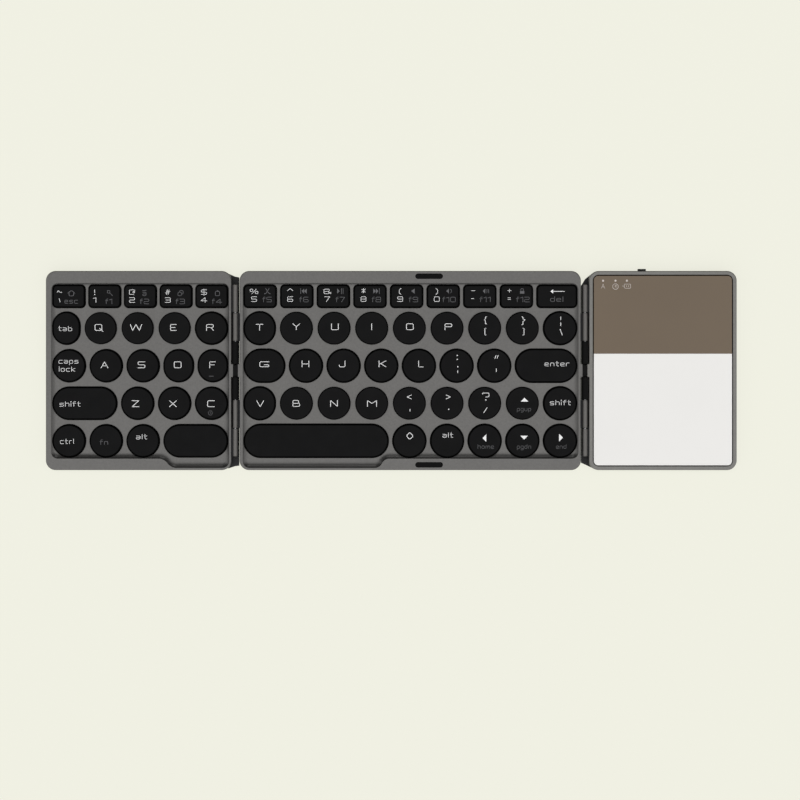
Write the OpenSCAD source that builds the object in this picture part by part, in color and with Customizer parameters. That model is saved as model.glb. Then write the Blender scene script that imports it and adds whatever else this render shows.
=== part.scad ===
// Three-panel folding keyboard with a touch panel.
// Left and centre panels carry the keys, the right panel carries the touch surface.
// Both side panels fold up and over, face to face onto the centre panel.
// Origin: on the resting surface, under the middle of the opened case. +X right, +Y rear, +Z up.

/* [Case] */
// Depth of all three panels, front edge to rear edge
case_depth = 98; // [97.5:0.5:100]
// Width of the left panel
left_width = 91.3; // [91:0.1:93]
// Width of the centre panel
centre_width = 168; // [167.5:0.5:170]
// Width of the right panel
right_width = 72.7; // [72:0.1:76]
// Gap between two panels, which the hinge barrels stand in
hinge_gap = 4; // [3.8:0.1:4.4]
// Radius of the panels' outer corners
corner_radius = 4.8; // [3:0.1:6]
// Height of the rims above the resting surface
rim_top = 6; // [6:0.1:6.4]
// Thickness of the rubber feet that show below the covers
foot_height = 0.4; // [0.3:0.1:0.5]

/* [Rims] */
// Rear rim behind the keys
rear_rim = 6.05; // [5.8:0.05:6.2]
// Wide stretch of the front rim
front_rim = 5.75; // [5.4:0.05:5.8]
// Narrow stretch of the front rim, before the space keys
thin_rim = 1.2; // [1:0.1:1.5]
// Depth of the key recess below the rims
recess_depth = 1.5; // [1.2:0.1:1.6]
// Radius of the recess's corners
recess_radius = 3.2; // [1.5:0.1:4]

/* [Keys] */
// Rows of keys, centre to centre
row_pitch = 18.5; // [18.4:0.05:18.6]
// Letter keys on the centre panel, centre to centre
centre_pitch = 18.55; // [18.5:0.05:18.6]
// Letter keys on the left panel, centre to centre
left_pitch = 18.2; // [18.1:0.05:18.3]
// Diameter of a round key hole on the centre panel
centre_hole = 16.9; // [16.6:0.1:17]
// Diameter of a round key hole on the left panel
left_hole = 16.5; // [16.2:0.1:16.6]
// Depth of the number keys' holes, front to rear
number_hole = 11.6; // [11:0.1:11.8]
// Corner radius of the number keys' holes
number_radius = 2.3; // [1.6:0.1:2.6]
// Gap between a key and the edge of its hole
key_gap = 0.3; // [0.25:0.01:0.35]
// How far a key goes down
key_travel = 1.2; // [1:0.1:1.2]

/* [Hinges] */
// Radius of the hinge barrels
barrel_radius = 1.2; // [1:0.05:1.25]
// Radius of the hinge pins
pin_radius = 0.5; // [0.4:0.05:0.55]
// Radius of the black sleeves beside the cable crossing
sleeve_radius = 1.5; // [1.3:0.05:1.6]

/* [Touch panel] */
// Rim around the touch surface
touch_rim = 1.9; // [1.7:0.1:2.2]
// Groove between the rim and the touch surface
touch_groove = 0.45; // [0.3:0.05:0.6]
// Travel of the power switch
switch_travel = 2; // [1.5:0.1:2]

/* [Hidden] */
$fn = 64;

// Panels, left to right
total_width = left_width + centre_width + right_width + 2 * hinge_gap;
left_x0 = -total_width / 2;
left_x1 = left_x0 + left_width;
centre_x0 = left_x1 + hinge_gap;
centre_x1 = centre_x0 + centre_width;
right_x0 = centre_x1 + hinge_gap;
right_x1 = total_width / 2;
left_axis = left_x1 + hinge_gap / 2;
right_axis = right_x0 - hinge_gap / 2;
rear = case_depth / 2;
front = -rear;

// Layers, from the bottom up
cover_floor = 0.6;
floor_top = foot_height + cover_floor;
seam = foot_height + 1.2;
plate_thickness = 0.3;
membrane_bottom = floor_top + plate_thickness;
deck_top = rim_top - recess_depth;
deck_bottom = deck_top - 0.8;
key_top = rim_top - 0.2;
cap_roof = 0.9;
cap_wall = 0.8;
flange_top = deck_bottom - 0.1;
flange_bottom = seam + key_travel + 0.25;
flange_lip = 0.3;
cavity_grow = 0.4;
sheet_grow = 0.3;
axis_z = rim_top + 0.15;

// Overlap of two shapes that make one solid, and how far a cut runs past what it cuts
little = 0.01;
past = 1;

// Key field of each panel: outer edges of the outermost holes
left_keys_x0 = left_x0 + 3.1;
left_keys_x1 = left_x1 - 1.6;
centre_keys_x0 = centre_x0 + 1.9;
centre_keys_x1 = centre_x1 - 1.75;
left_gap = left_pitch - left_hole;
centre_gap = centre_pitch - centre_hole;
delete_width = 20.1;
enter_width = 30.75;
left_number_gap = 1.3;
left_number_pitch = (left_keys_x1 - left_keys_x0 + left_number_gap) / 5;
left_number_width = left_number_pitch - left_number_gap;
centre_number_gap = 1.6;
centre_number_pitch = (centre_keys_x1 - delete_width - centre_keys_x0) / 8;
centre_number_width = centre_number_pitch - centre_number_gap;
number_y = rear - 12.4;
first_row_y = rear - 28.1;

// Spans of keys counted from an edge of the field
function left_from_left(n) = [left_keys_x0 + n * left_pitch, left_keys_x0 + n * left_pitch + left_hole];
function left_from_right(n) = [left_keys_x1 - n * left_pitch - left_hole, left_keys_x1 - n * left_pitch];
function centre_from(x, n) = [x - n * centre_pitch - centre_hole, x - n * centre_pitch];
function row_y(row) = row == 0 ? number_y : first_row_y - (row - 1) * row_pitch;
function middle(span) = (span[0] + span[1]) / 2;
function width(span) = span[1] - span[0];

left_last_x = left_from_left(2)[1] + left_gap;
left_half_x = (left_last_x + left_keys_x1) / 2;
enter_x = centre_keys_x1 - enter_width;
home_x = enter_x - centre_gap;
home_left = centre_from(home_x, 5)[0];
second_left = centre_from(centre_keys_x1, 7)[0];
arrows_left = centre_from(centre_keys_x1, 4)[0];

// Each key: node, row, span of its hole
LEFT_KEYS = [
    for (n = [0:4])
        let (x = left_keys_x0 + n * left_number_pitch)
        ["left_number_keys", 0, [x, x + left_number_width]],
    ["tab_key", 1, [left_keys_x0, left_from_right(3)[0] - left_gap]],
    for (n = [0:3]) ["left_letter_keys", 1, left_from_right(n)],
    ["caps_lock_key", 2, left_from_left(0)],
    for (n = [1:2]) ["left_letter_keys", 2, left_from_left(n)],
    ["left_letter_keys", 2, [left_last_x, left_half_x - left_gap / 2]],
    ["left_letter_keys", 2, [left_half_x + left_gap / 2, left_keys_x1]],
    ["left_shift_key", 3, [left_keys_x0, left_from_right(2)[0] - left_gap]],
    for (n = [0:2]) ["left_letter_keys", 3, left_from_right(n)],
    ["ctrl_key", 4, left_from_left(0)],
    ["fn_key", 4, left_from_left(1)],
    ["left_alt_key", 4, left_from_left(2)],
    ["left_space_key", 4, [left_last_x, left_keys_x1]]
];
CENTRE_KEYS = [
    for (n = [0:7])
        let (x = centre_keys_x0 + n * centre_number_pitch)
        ["centre_number_keys", 0, [x, x + centre_number_width]],
    ["delete_key", 0, [centre_keys_x1 - delete_width, centre_keys_x1]],
    ["centre_letter_keys", 1, [centre_keys_x0, second_left - centre_gap]],
    for (n = [0:7]) ["centre_letter_keys", 1, centre_from(centre_keys_x1, n)],
    ["centre_letter_keys", 2, [centre_keys_x0, home_left - centre_gap]],
    for (n = [0:5]) ["centre_letter_keys", 2, centre_from(home_x, n)],
    ["enter_key", 2, [enter_x, centre_keys_x1]],
    ["centre_letter_keys", 3, [centre_keys_x0, second_left - centre_gap]],
    for (n = [2:7]) ["centre_letter_keys", 3, centre_from(centre_keys_x1, n)],
    ["up_key", 3, centre_from(centre_keys_x1, 1)],
    ["right_shift_key", 3, centre_from(centre_keys_x1, 0)],
    ["space_key", 4, [centre_keys_x0, arrows_left - centre_gap]],
    ["meta_key", 4, centre_from(centre_keys_x1, 4)],
    ["right_alt_key", 4, centre_from(centre_keys_x1, 3)],
    ["left_key", 4, centre_from(centre_keys_x1, 2)],
    ["down_key", 4, centre_from(centre_keys_x1, 1)],
    ["right_key", 4, centre_from(centre_keys_x1, 0)]
];

// Where the front rim changes from wide to narrow
left_bend = [left_last_x - 2, left_last_x + 6.4];
centre_bend = [arrows_left - 8.4, arrows_left - 1.5];

// Screws: along the rims, and in the free corners between round keys
rim_y = rear - 2.75;
screw_head_radius = 1.4;
screw_head_height = 0.6;
screw_radius = 0.7;
screw_top = 4;
seat_depth = 0.65;
seat_clearance = 0.05;
thread_clearance = 0.03;
boss_radius = 1.7;
boss_clearance = 0.3;
left_rim_screws = [[left_x0 + 18, rim_y], [left_x1 - 7.3, rim_y], [left_x0 + 18, -rim_y]];
left_inner_screws = [[left_keys_x1 - left_hole - left_gap / 2, row_y(3) - 7.8]];
centre_rim_screws = [
    for (x = [centre_x0 + 8.7, centre_x0 + 54.7, centre_x1 - 43.3, centre_x1 - 8.3]) [x, rim_y],
    for (x = [centre_x1 - 43.3, centre_x1 - 8.3]) [x, -rim_y]
];
inner_column = centre_from(centre_keys_x1, 5)[0] - 1.1 + centre_gap / 2;
centre_inner_screws = [
    for (n = [0, 3]) [inner_column + n * centre_pitch, row_y(1) - 8.9],
    for (n = [5, 7]) [centre_from(centre_keys_x1, n)[0] - centre_gap / 2, row_y(3) - 7.6]
];
right_post_screws = [for (x = [right_x0 + 5, right_x1 - 5], y = [rear - 5, front + 5]) [x, y]];
post_radius = 1.9;

// Round rubber feet, in from a panel's edges, and how deep they stand in the cover
foot_radius = 4;
foot_inset = [11, 12];
foot_sunk = 0.2;

// Tongues of the side covers under the hinge gaps
tongue_thickness = 0.6;
tongue_root = 2;
tongue_end = 0.6;

// Magnets that hold the folded panels shut
magnet = [8, 2, 2.9];
magnet_z = seam + 0.1;
magnet_y = rear - 2.75;
left_magnet_x = left_x0 + 9;
right_magnet_x = right_x1 - 14;
centre_magnet_x = [2 * left_axis - left_magnet_x, 2 * right_axis - right_magnet_x];
right_magnet_y = rear - 1.5 - magnet[1] / 2;
magnet_clearance = 0.05;

// Rest pads for the free edges of the folded panels
bumper_x = centre_x0 + 93.3;
bumper_size = [13.5, 2.55];
bumper_y = rear - 2.6;
bumper_bottom = rim_top - 0.8;
bumper_top = rim_top + 0.25;

// Hinge stations along the depth
neck = 3.2;
sleeve_end = 14.3;
inner_knuckle = [14.5, 28.3];
outer_knuckle = [28.6, 42.2];
pin_span = [3.4, 42];
leaf_thickness = 0.4;
leaf_top = axis_z - 0.6;
leaf_arm = 0.6;
bore_clearance = 0.03;

// Ribbon cable across each hinge
ribbon_half = 2.6;
ribbon = 0.2;
ribbon_top = axis_z - 0.4;
ribbon_low = seam + 0.8;
ribbon_x = 1.55;
ribbon_clearance = 0.06;
nub = 0.8;
nub_root = 0.5;
nub_bottom = seam + 0.4;

// Right panel
touch_bottom = rim_top - 1.1;
board_thickness = 0.8;
touch_board_bottom = touch_bottom - board_thickness;
touch_cavity = 1.5;
touch_ledge = 1.6;
board_bottom = floor_top + 0.1;
board_top = board_bottom + board_thickness;
board_right = right_magnet_x - magnet[0] / 2 - 0.5;
knob_x = right_x0 + 24.3;
knob_width = 4;
knob_z = [2.3, 3.7];
knob_out = 1.2;
lever_x = [knob_x + 1, knob_x + 3];
lever_z = [2.6, 3.4];
usb_x = right_x0 + 37.9;
usb_size = [7.4, 5.2, 2.5];
usb_back = rear - 0.1;
battery_size = [54, 36, 2.8];
battery_at = [9, -8];

// ---------- shared shapes ----------

// A flat shape given a bottom and a top height
module layer(bottom, top) {
    translate([0, 0, bottom])
        linear_extrude(top - bottom)
            children();
}

module block(low, high) {
    translate(low)
        cube(high - low);
}

// A rectangle between two corners
module patch(low, high) {
    translate(low)
        square([high[0] - low[0], high[1] - low[1]]);
}

// A rectangle with round corners
module round_patch(low, high, radius) {
    patch([low[0] + radius, low[1]], [high[0] - radius, high[1]]);
    patch([low[0], low[1] + radius], [high[0], high[1] - radius]);
    for (x = [low[0] + radius, high[0] - radius], y = [low[1] + radius, high[1] - radius])
        translate([x, y])
            circle(radius);
}

// Outline of a panel, drawn in by inset
module panel_outline(x0, x1, inset = 0) {
    round_patch([x0 + inset, front + inset], [x1 - inset, rear - inset],
                max(corner_radius - inset, 0.8));
}

function arc(x, y, radius, start) =
    [for (n = [0:6]) [x + radius * cos(start + 15 * n), y + radius * sin(start + 15 * n)]];

// Outline of a key recess, whose front edge bends from one depth to the other
function recess(x0, x1, front_left, front_right, bend, grow) =
    let (radius = recess_radius + grow, low = front_left - grow, low_right = front_right - grow,
         left = x0 - grow, right = x1 + grow, top = rear - rear_rim + grow)
    concat(
        arc(left + radius, low + radius, radius, 180),
        [for (t = [0:0.1:1])
            [bend[0] + t * width(bend), low + (low_right - low) * (1 - cos(180 * t)) / 2]],
        arc(right - radius, low_right + radius, radius, 270),
        arc(right - radius, top - radius, radius, 0),
        arc(left + radius, top - radius, radius, 90)
    );

module left_recess(grow = 0) {
    polygon(recess(left_x0 + 2.7, left_x1 - 1.2, front + front_rim, front + thin_rim,
                   left_bend, grow));
}

module centre_recess(grow = 0) {
    polygon(recess(centre_x0 + 1.7, centre_x1 - 1.3, front + thin_rim, front + front_rim,
                   centre_bend, grow));
}

// Outline of one key's hole, grown or drawn in
module key_outline(key, hole, grow = 0) {
    y = row_y(key[1]);
    span = [key[2][0] - grow, key[2][1] + grow];
    half = (key[1] == 0 ? number_hole : hole) / 2 + grow;
    if (key[1] == 0)
        round_patch([span[0], y - half], [span[1], y + half], number_radius + grow);
    else if (width(span) > 2 * half + little) {
        patch([span[0] + half, y - half], [span[1] - half, y + half]);
        for (x = [span[0] + half, span[1] - half])
            translate([x, y])
                circle(half);
    }
    else if (width(span) > 2 * half - little)
        translate([middle(span), y])
            circle(half);
    else {
        end = half - width(span) / 2;
        patch([span[0], y - end], [span[1], y + end]);
        for (side = [-1, 1])
            translate([middle(span), y + side * end])
                circle(width(span) / 2);
    }
}

// Caps of one node: roof, skirt, and the lip that stops them under the deck
module keycaps(name, keys, hole) {
    color([0.09, 0.09, 0.09])
        for (key = keys)
            if (key[0] == name)
                difference() {
                    union() {
                        layer(flange_bottom, key_top)
                            key_outline(key, hole, -key_gap);
                        layer(flange_bottom, flange_top)
                            key_outline(key, hole, flange_lip);
                    }
                    layer(flange_bottom - past, key_top - cap_roof)
                        key_outline(key, hole, -key_gap - cap_wall);
                }
}

// Places along a key where its guides stand
function guides(key) = width(key[2]) > 60 ? [-24, 0, 24] : width(key[2]) > 25 ? [-7, 7] : [0];

// Hollow rubber dome between the membrane and the roof of each key
module domes(keys) {
    height = key_top - cap_roof - seam;
    color([0.8, 0.8, 0.78])
        for (key = keys)
            translate([middle(key[2]), row_y(key[1]), seam])
                rotate_extrude()
                    polygon([
                        [2, 0], [2.5, 0], [2.5, 0.3], [1.5, height - 1.1],
                        [1.5, height], [0, height], [0, height - 0.6], [1.1, height - 1.2]
                    ]);
}

// One flat frame of a scissor, tilted about the scissor's middle
module scissor_frame(size, opening, tilt) {
    rotate([0, tilt, 0])
        difference() {
            cube([size[0], size[1], 0.5], center = true);
            cube([opening[0], opening[1], past], center = true);
        }
}

// Two crossed frames around a dome
module scissors(keys) {
    tilt = 17;
    color([0.9, 0.9, 0.88])
        for (key = keys, x = guides(key))
            translate([middle(key[2]) + x, row_y(key[1]), seam + 1.65]) {
                scissor_frame([8.4, 8.6], [6.8, 6.8], tilt);
                scissor_frame([8.4, 6.4], [6.8, 5.4], -tilt);
            }
}

// Steel plate or membrane under the keys, open around the screw bosses
module sheet(bottom, thickness, screws) {
    layer(bottom, bottom + thickness)
        difference() {
            children();
            for (at = screws)
                translate(at)
                    circle(boss_radius + boss_clearance);
        }
}

module screw_set(places) {
    color([0.2, 0.2, 0.21])
        for (at = places)
            translate([at[0], at[1], 0]) {
                translate([0, 0, foot_height + seat_depth - screw_head_height])
                    cylinder(h = screw_head_height, r = screw_head_radius);
                translate([0, 0, floor_top - screw_head_height / 2])
                    cylinder(h = screw_top - floor_top + screw_head_height / 2, r = screw_radius);
            }
}

module screw_seats(places) {
    for (at = places)
        translate([at[0], at[1], 0]) {
            translate([0, 0, foot_height - past])
                cylinder(h = past + seat_depth, r = screw_head_radius + seat_clearance);
            cylinder(h = seam + past, r = screw_radius + 2 * seat_clearance);
        }
}

module screw_bores(places) {
    for (at = places)
        translate([at[0], at[1], seam - past])
            cylinder(h = screw_top - seam + past + 0.2, r = screw_radius + thread_clearance);
}

// Feet stand in shallow pockets of the covers
function feet_of(x0, x1) = [
    for (x = [x0 + foot_inset[0], x1 - foot_inset[0]], y = [rear - foot_inset[1], front + foot_inset[1]])
        [x, y]
];

module feet(x0, x1) {
    color([0.1, 0.1, 0.1])
        for (at = feet_of(x0, x1))
            translate(at)
                cylinder(h = foot_height + foot_sunk, r = foot_radius);
}

module foot_pockets(x0, x1) {
    for (at = feet_of(x0, x1))
        translate([at[0], at[1], foot_height - past])
            cylinder(h = past + foot_sunk, r = foot_radius);
}

// ---------- covers and frames ----------

cover_colour = [0.42, 0.41, 0.41];

module key_cover(x0, x1, rim_screws, inner_screws) {
    difference() {
        union() {
            difference() {
                layer(foot_height, seam)
                    panel_outline(x0, x1);
                layer(floor_top, seam + past)
                    children(0);
            }
            for (at = inner_screws)
                translate([at[0], at[1], floor_top - little])
                    cylinder(h = seam - floor_top + little, r = boss_radius);
        }
        foot_pockets(x0, x1);
        screw_seats(concat(rim_screws, inner_screws));
    }
}

// Tongue of a side cover that closes the hinge gap from below. At either end it stops short of the
// panels by one distance at its root, one in mid gap and one at its tip
module tongue(edge, direction, front_end, rear_end) {
    root = edge - direction * tongue_root;
    middle = edge + direction * hinge_gap / 3;
    tip = edge + direction * (hinge_gap - tongue_end);
    layer(foot_height, foot_height + tongue_thickness)
        polygon([
            [root, front + front_end[0]], [middle, front + front_end[1]], [tip, front + front_end[2]],
            [tip, rear - rear_end[2]], [middle, rear - rear_end[1]], [root, rear - rear_end[0]]
        ]);
}

module centre_bottom_cover() {
    color(cover_colour)
        key_cover(centre_x0, centre_x1, centre_rim_screws, centre_inner_screws)
            centre_recess(cavity_grow);
}

module left_bottom_cover() {
    color(cover_colour)
        union() {
            key_cover(left_x0, left_x1, left_rim_screws, left_inner_screws)
                left_recess(cavity_grow);
            tongue(left_x1, 1, [0.6, 1.7, 2], [0.9, 2.4, 2.8]);
        }
}

module right_bottom_cover() {
    finger_notch = [1, 6, 0.8];
    color(cover_colour)
        union() {
            difference() {
                layer(foot_height, seam)
                    panel_outline(right_x0, right_x1);
                difference() {
                    layer(floor_top, seam + past)
                        panel_outline(right_x0, right_x1, touch_cavity);
                    for (at = right_post_screws)
                        translate([at[0], at[1], 0])
                            cylinder(h = seam, r = post_radius);
                }
                foot_pockets(right_x0, right_x1);
                screw_seats(right_post_screws);
                translate([right_x1 - finger_notch[0], -finger_notch[1] / 2, foot_height - past])
                    cube(finger_notch + [past, 0, past]);
            }
            tongue(right_x0, -1, [0.9, 2.5, 3.4], [0.9, 3.6, 7]);
        }
}

// Pockets of the hinge leaves in a panel's edge; direction points from the edge into the hinge gap
module leaf_pockets(edge, direction, station) {
    for (side = [-1, 1])
        let (y = station * side)
        block([edge - (direction > 0 ? leaf_thickness : past), min(y), seam - past],
              [edge + (direction > 0 ? past : leaf_thickness), max(y), leaf_top]);
}

// Boss beside the cable crossing
module nub_at(edge, direction) {
    inner = edge - direction * nub_root;
    outer = edge + direction * nub;
    block([min(inner, outer), -neck, nub_bottom], [max(inner, outer), neck, rim_top]);
}

// The space that a ribbon cable needs in the nubs and walls
module ribbon_space(axis_x) {
    ribbon_solid(axis_x, ribbon_clearance, hinge_gap, hinge_gap);
}

module key_frame(x0, x1, rim_screws, inner_screws, keys, hole) {
    difference() {
        union() {
            difference() {
                layer(seam, rim_top)
                    panel_outline(x0, x1);
                layer(seam - past, deck_bottom)
                    children(0);
            }
            for (at = inner_screws)
                translate([at[0], at[1], seam])
                    cylinder(h = deck_bottom - seam + 0.2, r = boss_radius);
        }
        layer(deck_top, rim_top + past)
            children(1);
        layer(seam, rim_top)
            for (key = keys)
                key_outline(key, hole);
        screw_bores(concat(rim_screws, inner_screws));
    }
}

module magnet_block(x, y, clearance = 0) {
    translate([x - magnet[0] / 2 - clearance, y - magnet[1] / 2 - clearance, magnet_z - clearance])
        cube(magnet + 2 * clearance * [1, 1, 1]);
}

module bumper_outline(y) {
    round_patch([bumper_x - bumper_size[0] / 2, y - bumper_size[1] / 2],
                [bumper_x + bumper_size[0] / 2, y + bumper_size[1] / 2], bumper_size[1] / 2 - little);
}

module centre_top_frame() {
    color([0.4, 0.39, 0.39])
        difference() {
            union() {
                key_frame(centre_x0, centre_x1, centre_rim_screws, centre_inner_screws,
                          CENTRE_KEYS, centre_hole) {
                    centre_recess(cavity_grow);
                    centre_recess();
                }
                nub_at(centre_x0, -1);
                nub_at(centre_x1, 1);
            }
            leaf_pockets(centre_x0, -1, inner_knuckle);
            leaf_pockets(centre_x1, 1, inner_knuckle);
            ribbon_space(left_axis);
            ribbon_space(right_axis);
            for (y = [-bumper_y, bumper_y])
                layer(bumper_bottom, rim_top + past)
                    bumper_outline(y);
            for (x = centre_magnet_x, y = [-magnet_y, magnet_y])
                magnet_block(x, y, magnet_clearance);
        }
}

module left_top_frame() {
    color([0.42, 0.41, 0.41])
        difference() {
            union() {
                key_frame(left_x0, left_x1, left_rim_screws, left_inner_screws,
                          LEFT_KEYS, left_hole) {
                    left_recess(cavity_grow);
                    left_recess();
                }
                nub_at(left_x1, 1);
            }
            leaf_pockets(left_x1, 1, outer_knuckle);
            ribbon_space(left_axis);
            for (y = [-magnet_y, magnet_y])
                magnet_block(left_magnet_x, y, magnet_clearance);
        }
}

module right_top_frame() {
    ledge = touch_rim + touch_ledge;
    slot_clearance = 0.3;
    port_clearance = 0.1;
    color([0.44, 0.43, 0.43])
        difference() {
            union() {
                difference() {
                    layer(seam, rim_top)
                        panel_outline(right_x0, right_x1);
                    layer(seam - past, touch_board_bottom)
                        panel_outline(right_x0, right_x1, touch_cavity);
                    layer(seam, touch_bottom + little)
                        panel_outline(right_x0, right_x1, ledge);
                    layer(touch_bottom, rim_top + past)
                        panel_outline(right_x0, right_x1, touch_rim);
                }
                for (at = right_post_screws)
                    translate([at[0], at[1], seam])
                        cylinder(h = touch_board_bottom + 0.4 - seam, r = post_radius);
                nub_at(right_x0, -1);
            }
            leaf_pockets(right_x0, -1, outer_knuckle);
            ribbon_space(right_axis);
            screw_bores(right_post_screws);
            block([knob_x - slot_clearance, rear - 2.5, knob_z[0] - 0.2],
                  [knob_x + knob_width + switch_travel + slot_clearance, rear + past, knob_z[1] + 0.2]);
            block([usb_x - usb_size[0] / 2 - port_clearance, rear - ledge - past, board_top - 0.05],
                  [usb_x + usb_size[0] / 2 + port_clearance, rear + past,
                   board_top + usb_size[2] + port_clearance]);
        }
}

// ---------- under the keys ----------

module centre_key_plate() {
    color([0.7, 0.7, 0.72])
        sheet(floor_top, plate_thickness, centre_inner_screws)
            centre_recess(sheet_grow);
}

module left_key_plate() {
    color([0.7, 0.7, 0.72])
        sheet(floor_top, plate_thickness, left_inner_screws)
            left_recess(sheet_grow);
}

module centre_membrane() {
    color([0.3, 0.5, 0.4])
        sheet(membrane_bottom, seam - membrane_bottom, centre_inner_screws)
            centre_recess(sheet_grow);
}

module left_membrane() {
    color([0.3, 0.5, 0.4])
        sheet(membrane_bottom, seam - membrane_bottom, left_inner_screws)
            left_recess(sheet_grow);
}

module centre_domes() { domes(CENTRE_KEYS); }
module left_domes() { domes(LEFT_KEYS); }
module centre_scissors() { scissors(CENTRE_KEYS); }
module left_scissors() { scissors(LEFT_KEYS); }

// ---------- small parts of the panels ----------

module bumpers() {
    color([0.05, 0.05, 0.05])
        for (y = [-bumper_y, bumper_y])
            layer(bumper_bottom, bumper_top)
                bumper_outline(y);
}

module centre_feet() { feet(centre_x0, centre_x1); }
module left_feet() { feet(left_x0, left_x1); }
module right_feet() { feet(right_x0, right_x1); }
module centre_screws() { screw_set(concat(centre_rim_screws, centre_inner_screws)); }
module left_screws() { screw_set(concat(left_rim_screws, left_inner_screws)); }
module right_screws() { screw_set(right_post_screws); }

module centre_magnets() {
    color([0.75, 0.76, 0.78])
        for (x = centre_magnet_x, y = [-magnet_y, magnet_y])
            magnet_block(x, y);
}

module left_magnets() {
    color([0.75, 0.76, 0.78])
        for (y = [-magnet_y, magnet_y])
            magnet_block(left_magnet_x, y);
}

module right_magnets() {
    color([0.75, 0.76, 0.78])
        for (y = [-right_magnet_y, right_magnet_y])
            translate([0, 0, floor_top - magnet_z])
                magnet_block(right_magnet_x, y);
}

// ---------- hinges ----------

// Tube around the hinge axis between two stations, as a mirrored pair
module tube_pair(axis_x, station, outer, bore) {
    for (side = [-1, 1])
        translate([axis_x, side * (station[0] + station[1]) / 2, axis_z])
            rotate([90, 0, 0])
                difference() {
                    cylinder(h = width(station), r = outer, center = true);
                    cylinder(h = width(station) + past, r = bore, center = true);
                }
}

// Barrels with the arm and the plate that hold them in a panel's edge
module leaf_pair(axis_x, edge, station) {
    inward = edge > axis_x ? 1 : -1;
    plate_in = edge + inward * leaf_thickness;
    for (side = [-1, 1]) {
        y = [min(station * side), max(station * side)];
        difference() {
            union() {
                translate([axis_x, middle(y), axis_z])
                    rotate([90, 0, 0])
                        cylinder(h = width(y), r = barrel_radius, center = true);
                block([min(axis_x, plate_in), y[0], leaf_top - leaf_arm],
                      [max(axis_x, plate_in), y[1], leaf_top]);
                block([min(edge, plate_in), y[0], seam], [max(edge, plate_in), y[1], leaf_top]);
            }
            translate([axis_x, middle(y), axis_z])
                rotate([90, 0, 0])
                    cylinder(h = width(y) + past, r = pin_radius + bore_clearance, center = true);
        }
    }
}

module centre_hinge_leaves() {
    color([0.5, 0.49, 0.49]) {
        leaf_pair(left_axis, centre_x0, inner_knuckle);
        leaf_pair(right_axis, centre_x1, inner_knuckle);
    }
}

module left_hinge_leaf() {
    color([0.5, 0.49, 0.49])
        leaf_pair(left_axis, left_x1, outer_knuckle);
}

module right_hinge_leaf() {
    color([0.5, 0.49, 0.49])
        leaf_pair(right_axis, right_x0, outer_knuckle);
}

module hinge_pins() {
    color([0.6, 0.6, 0.62])
        for (axis_x = [left_axis, right_axis], side = [-1, 1])
            translate([axis_x, side * (pin_span[0] + pin_span[1]) / 2, axis_z])
                rotate([90, 0, 0])
                    cylinder(h = width(pin_span), r = pin_radius, center = true);
}

module left_hinge_sleeves() {
    color([0.07, 0.07, 0.07])
        tube_pair(left_axis, [neck, sleeve_end], sleeve_radius, pin_radius + bore_clearance);
}

module right_hinge_sleeves() {
    color([0.07, 0.07, 0.07])
        tube_pair(right_axis, [neck, sleeve_end], sleeve_radius, pin_radius + bore_clearance);
}

// Ribbon: over the gap between the nubs, down behind them and into both panels
module ribbon_solid(axis_x, grow, reach_left, reach_right) {
    y = ribbon_half + grow;
    leg = ribbon_x + ribbon + grow;
    block([axis_x - leg, -y, ribbon_top - ribbon - grow], [axis_x + leg, y, ribbon_top + grow]);
    for (end = [[-1, reach_left], [1, reach_right]]) {
        near = axis_x + end[0] * (ribbon_x - grow);
        far = axis_x + end[0] * leg;
        inner = axis_x + end[0] * end[1];
        block([min(near, far), -y, ribbon_low - grow], [max(near, far), y, ribbon_top + grow]);
        block([min(near, inner), -y, ribbon_low - grow],
              [max(near, inner), y, ribbon_low + ribbon + grow]);
    }
}

// Foot of a ribbon, from its run through the wall down to a height
module ribbon_foot(x, bottom) {
    block([x - ribbon / 2, -ribbon_half, bottom], [x + ribbon / 2, ribbon_half, ribbon_low + ribbon]);
}

module left_flex_cable() {
    color([0.06, 0.06, 0.06])
        union() {
            ribbon_solid(left_axis, 0, 3.1, 3.5);
            ribbon_foot(left_axis - 3, seam);
            ribbon_foot(left_axis + 3.4, seam);
        }
}

module right_flex_cable() {
    color([0.06, 0.06, 0.06])
        union() {
            ribbon_solid(right_axis, 0, 3.2, 9.5);
            ribbon_foot(right_axis - 3.1, seam);
            ribbon_foot(right_axis + 9.4, board_top);
        }
}

// ---------- right panel ----------

module touch_surface() {
    color([0.92, 0.91, 0.9])
        layer(touch_bottom, rim_top)
            panel_outline(right_x0, right_x1, touch_rim + touch_groove);
}

module touchpad_board() {
    color([0.1, 0.35, 0.2])
        block([right_x0 + 7.2, front + 3.8, touch_board_bottom], [right_x1 - 7.2, rear - 8, touch_bottom]);
}

module main_board() {
    color([0.1, 0.35, 0.2])
        block([right_x0 + 7, -4, board_bottom], [board_right, rear - 2, board_top]);
}

module battery() {
    color([0.75, 0.76, 0.78])
        translate([right_x0 + battery_at[0], battery_at[1] - battery_size[1], board_bottom])
            cube(battery_size);
}

module usb_port() {
    shell = 0.3;
    half = usb_size[0] / 2;
    contact = [2.2, 1.3, 1.8];
    color([0.75, 0.76, 0.78])
        translate([usb_x, usb_back, board_top]) {
            difference() {
                block([-half, -usb_size[1], 0], [half, 0, usb_size[2]]);
                block([-half + shell, -usb_size[1] + shell, shell],
                      [half - shell, past, usb_size[2] - shell]);
            }
            block([-contact[0], -usb_size[1] + little, contact[1]], [contact[0], -0.8, contact[2]]);
        }
}

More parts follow.
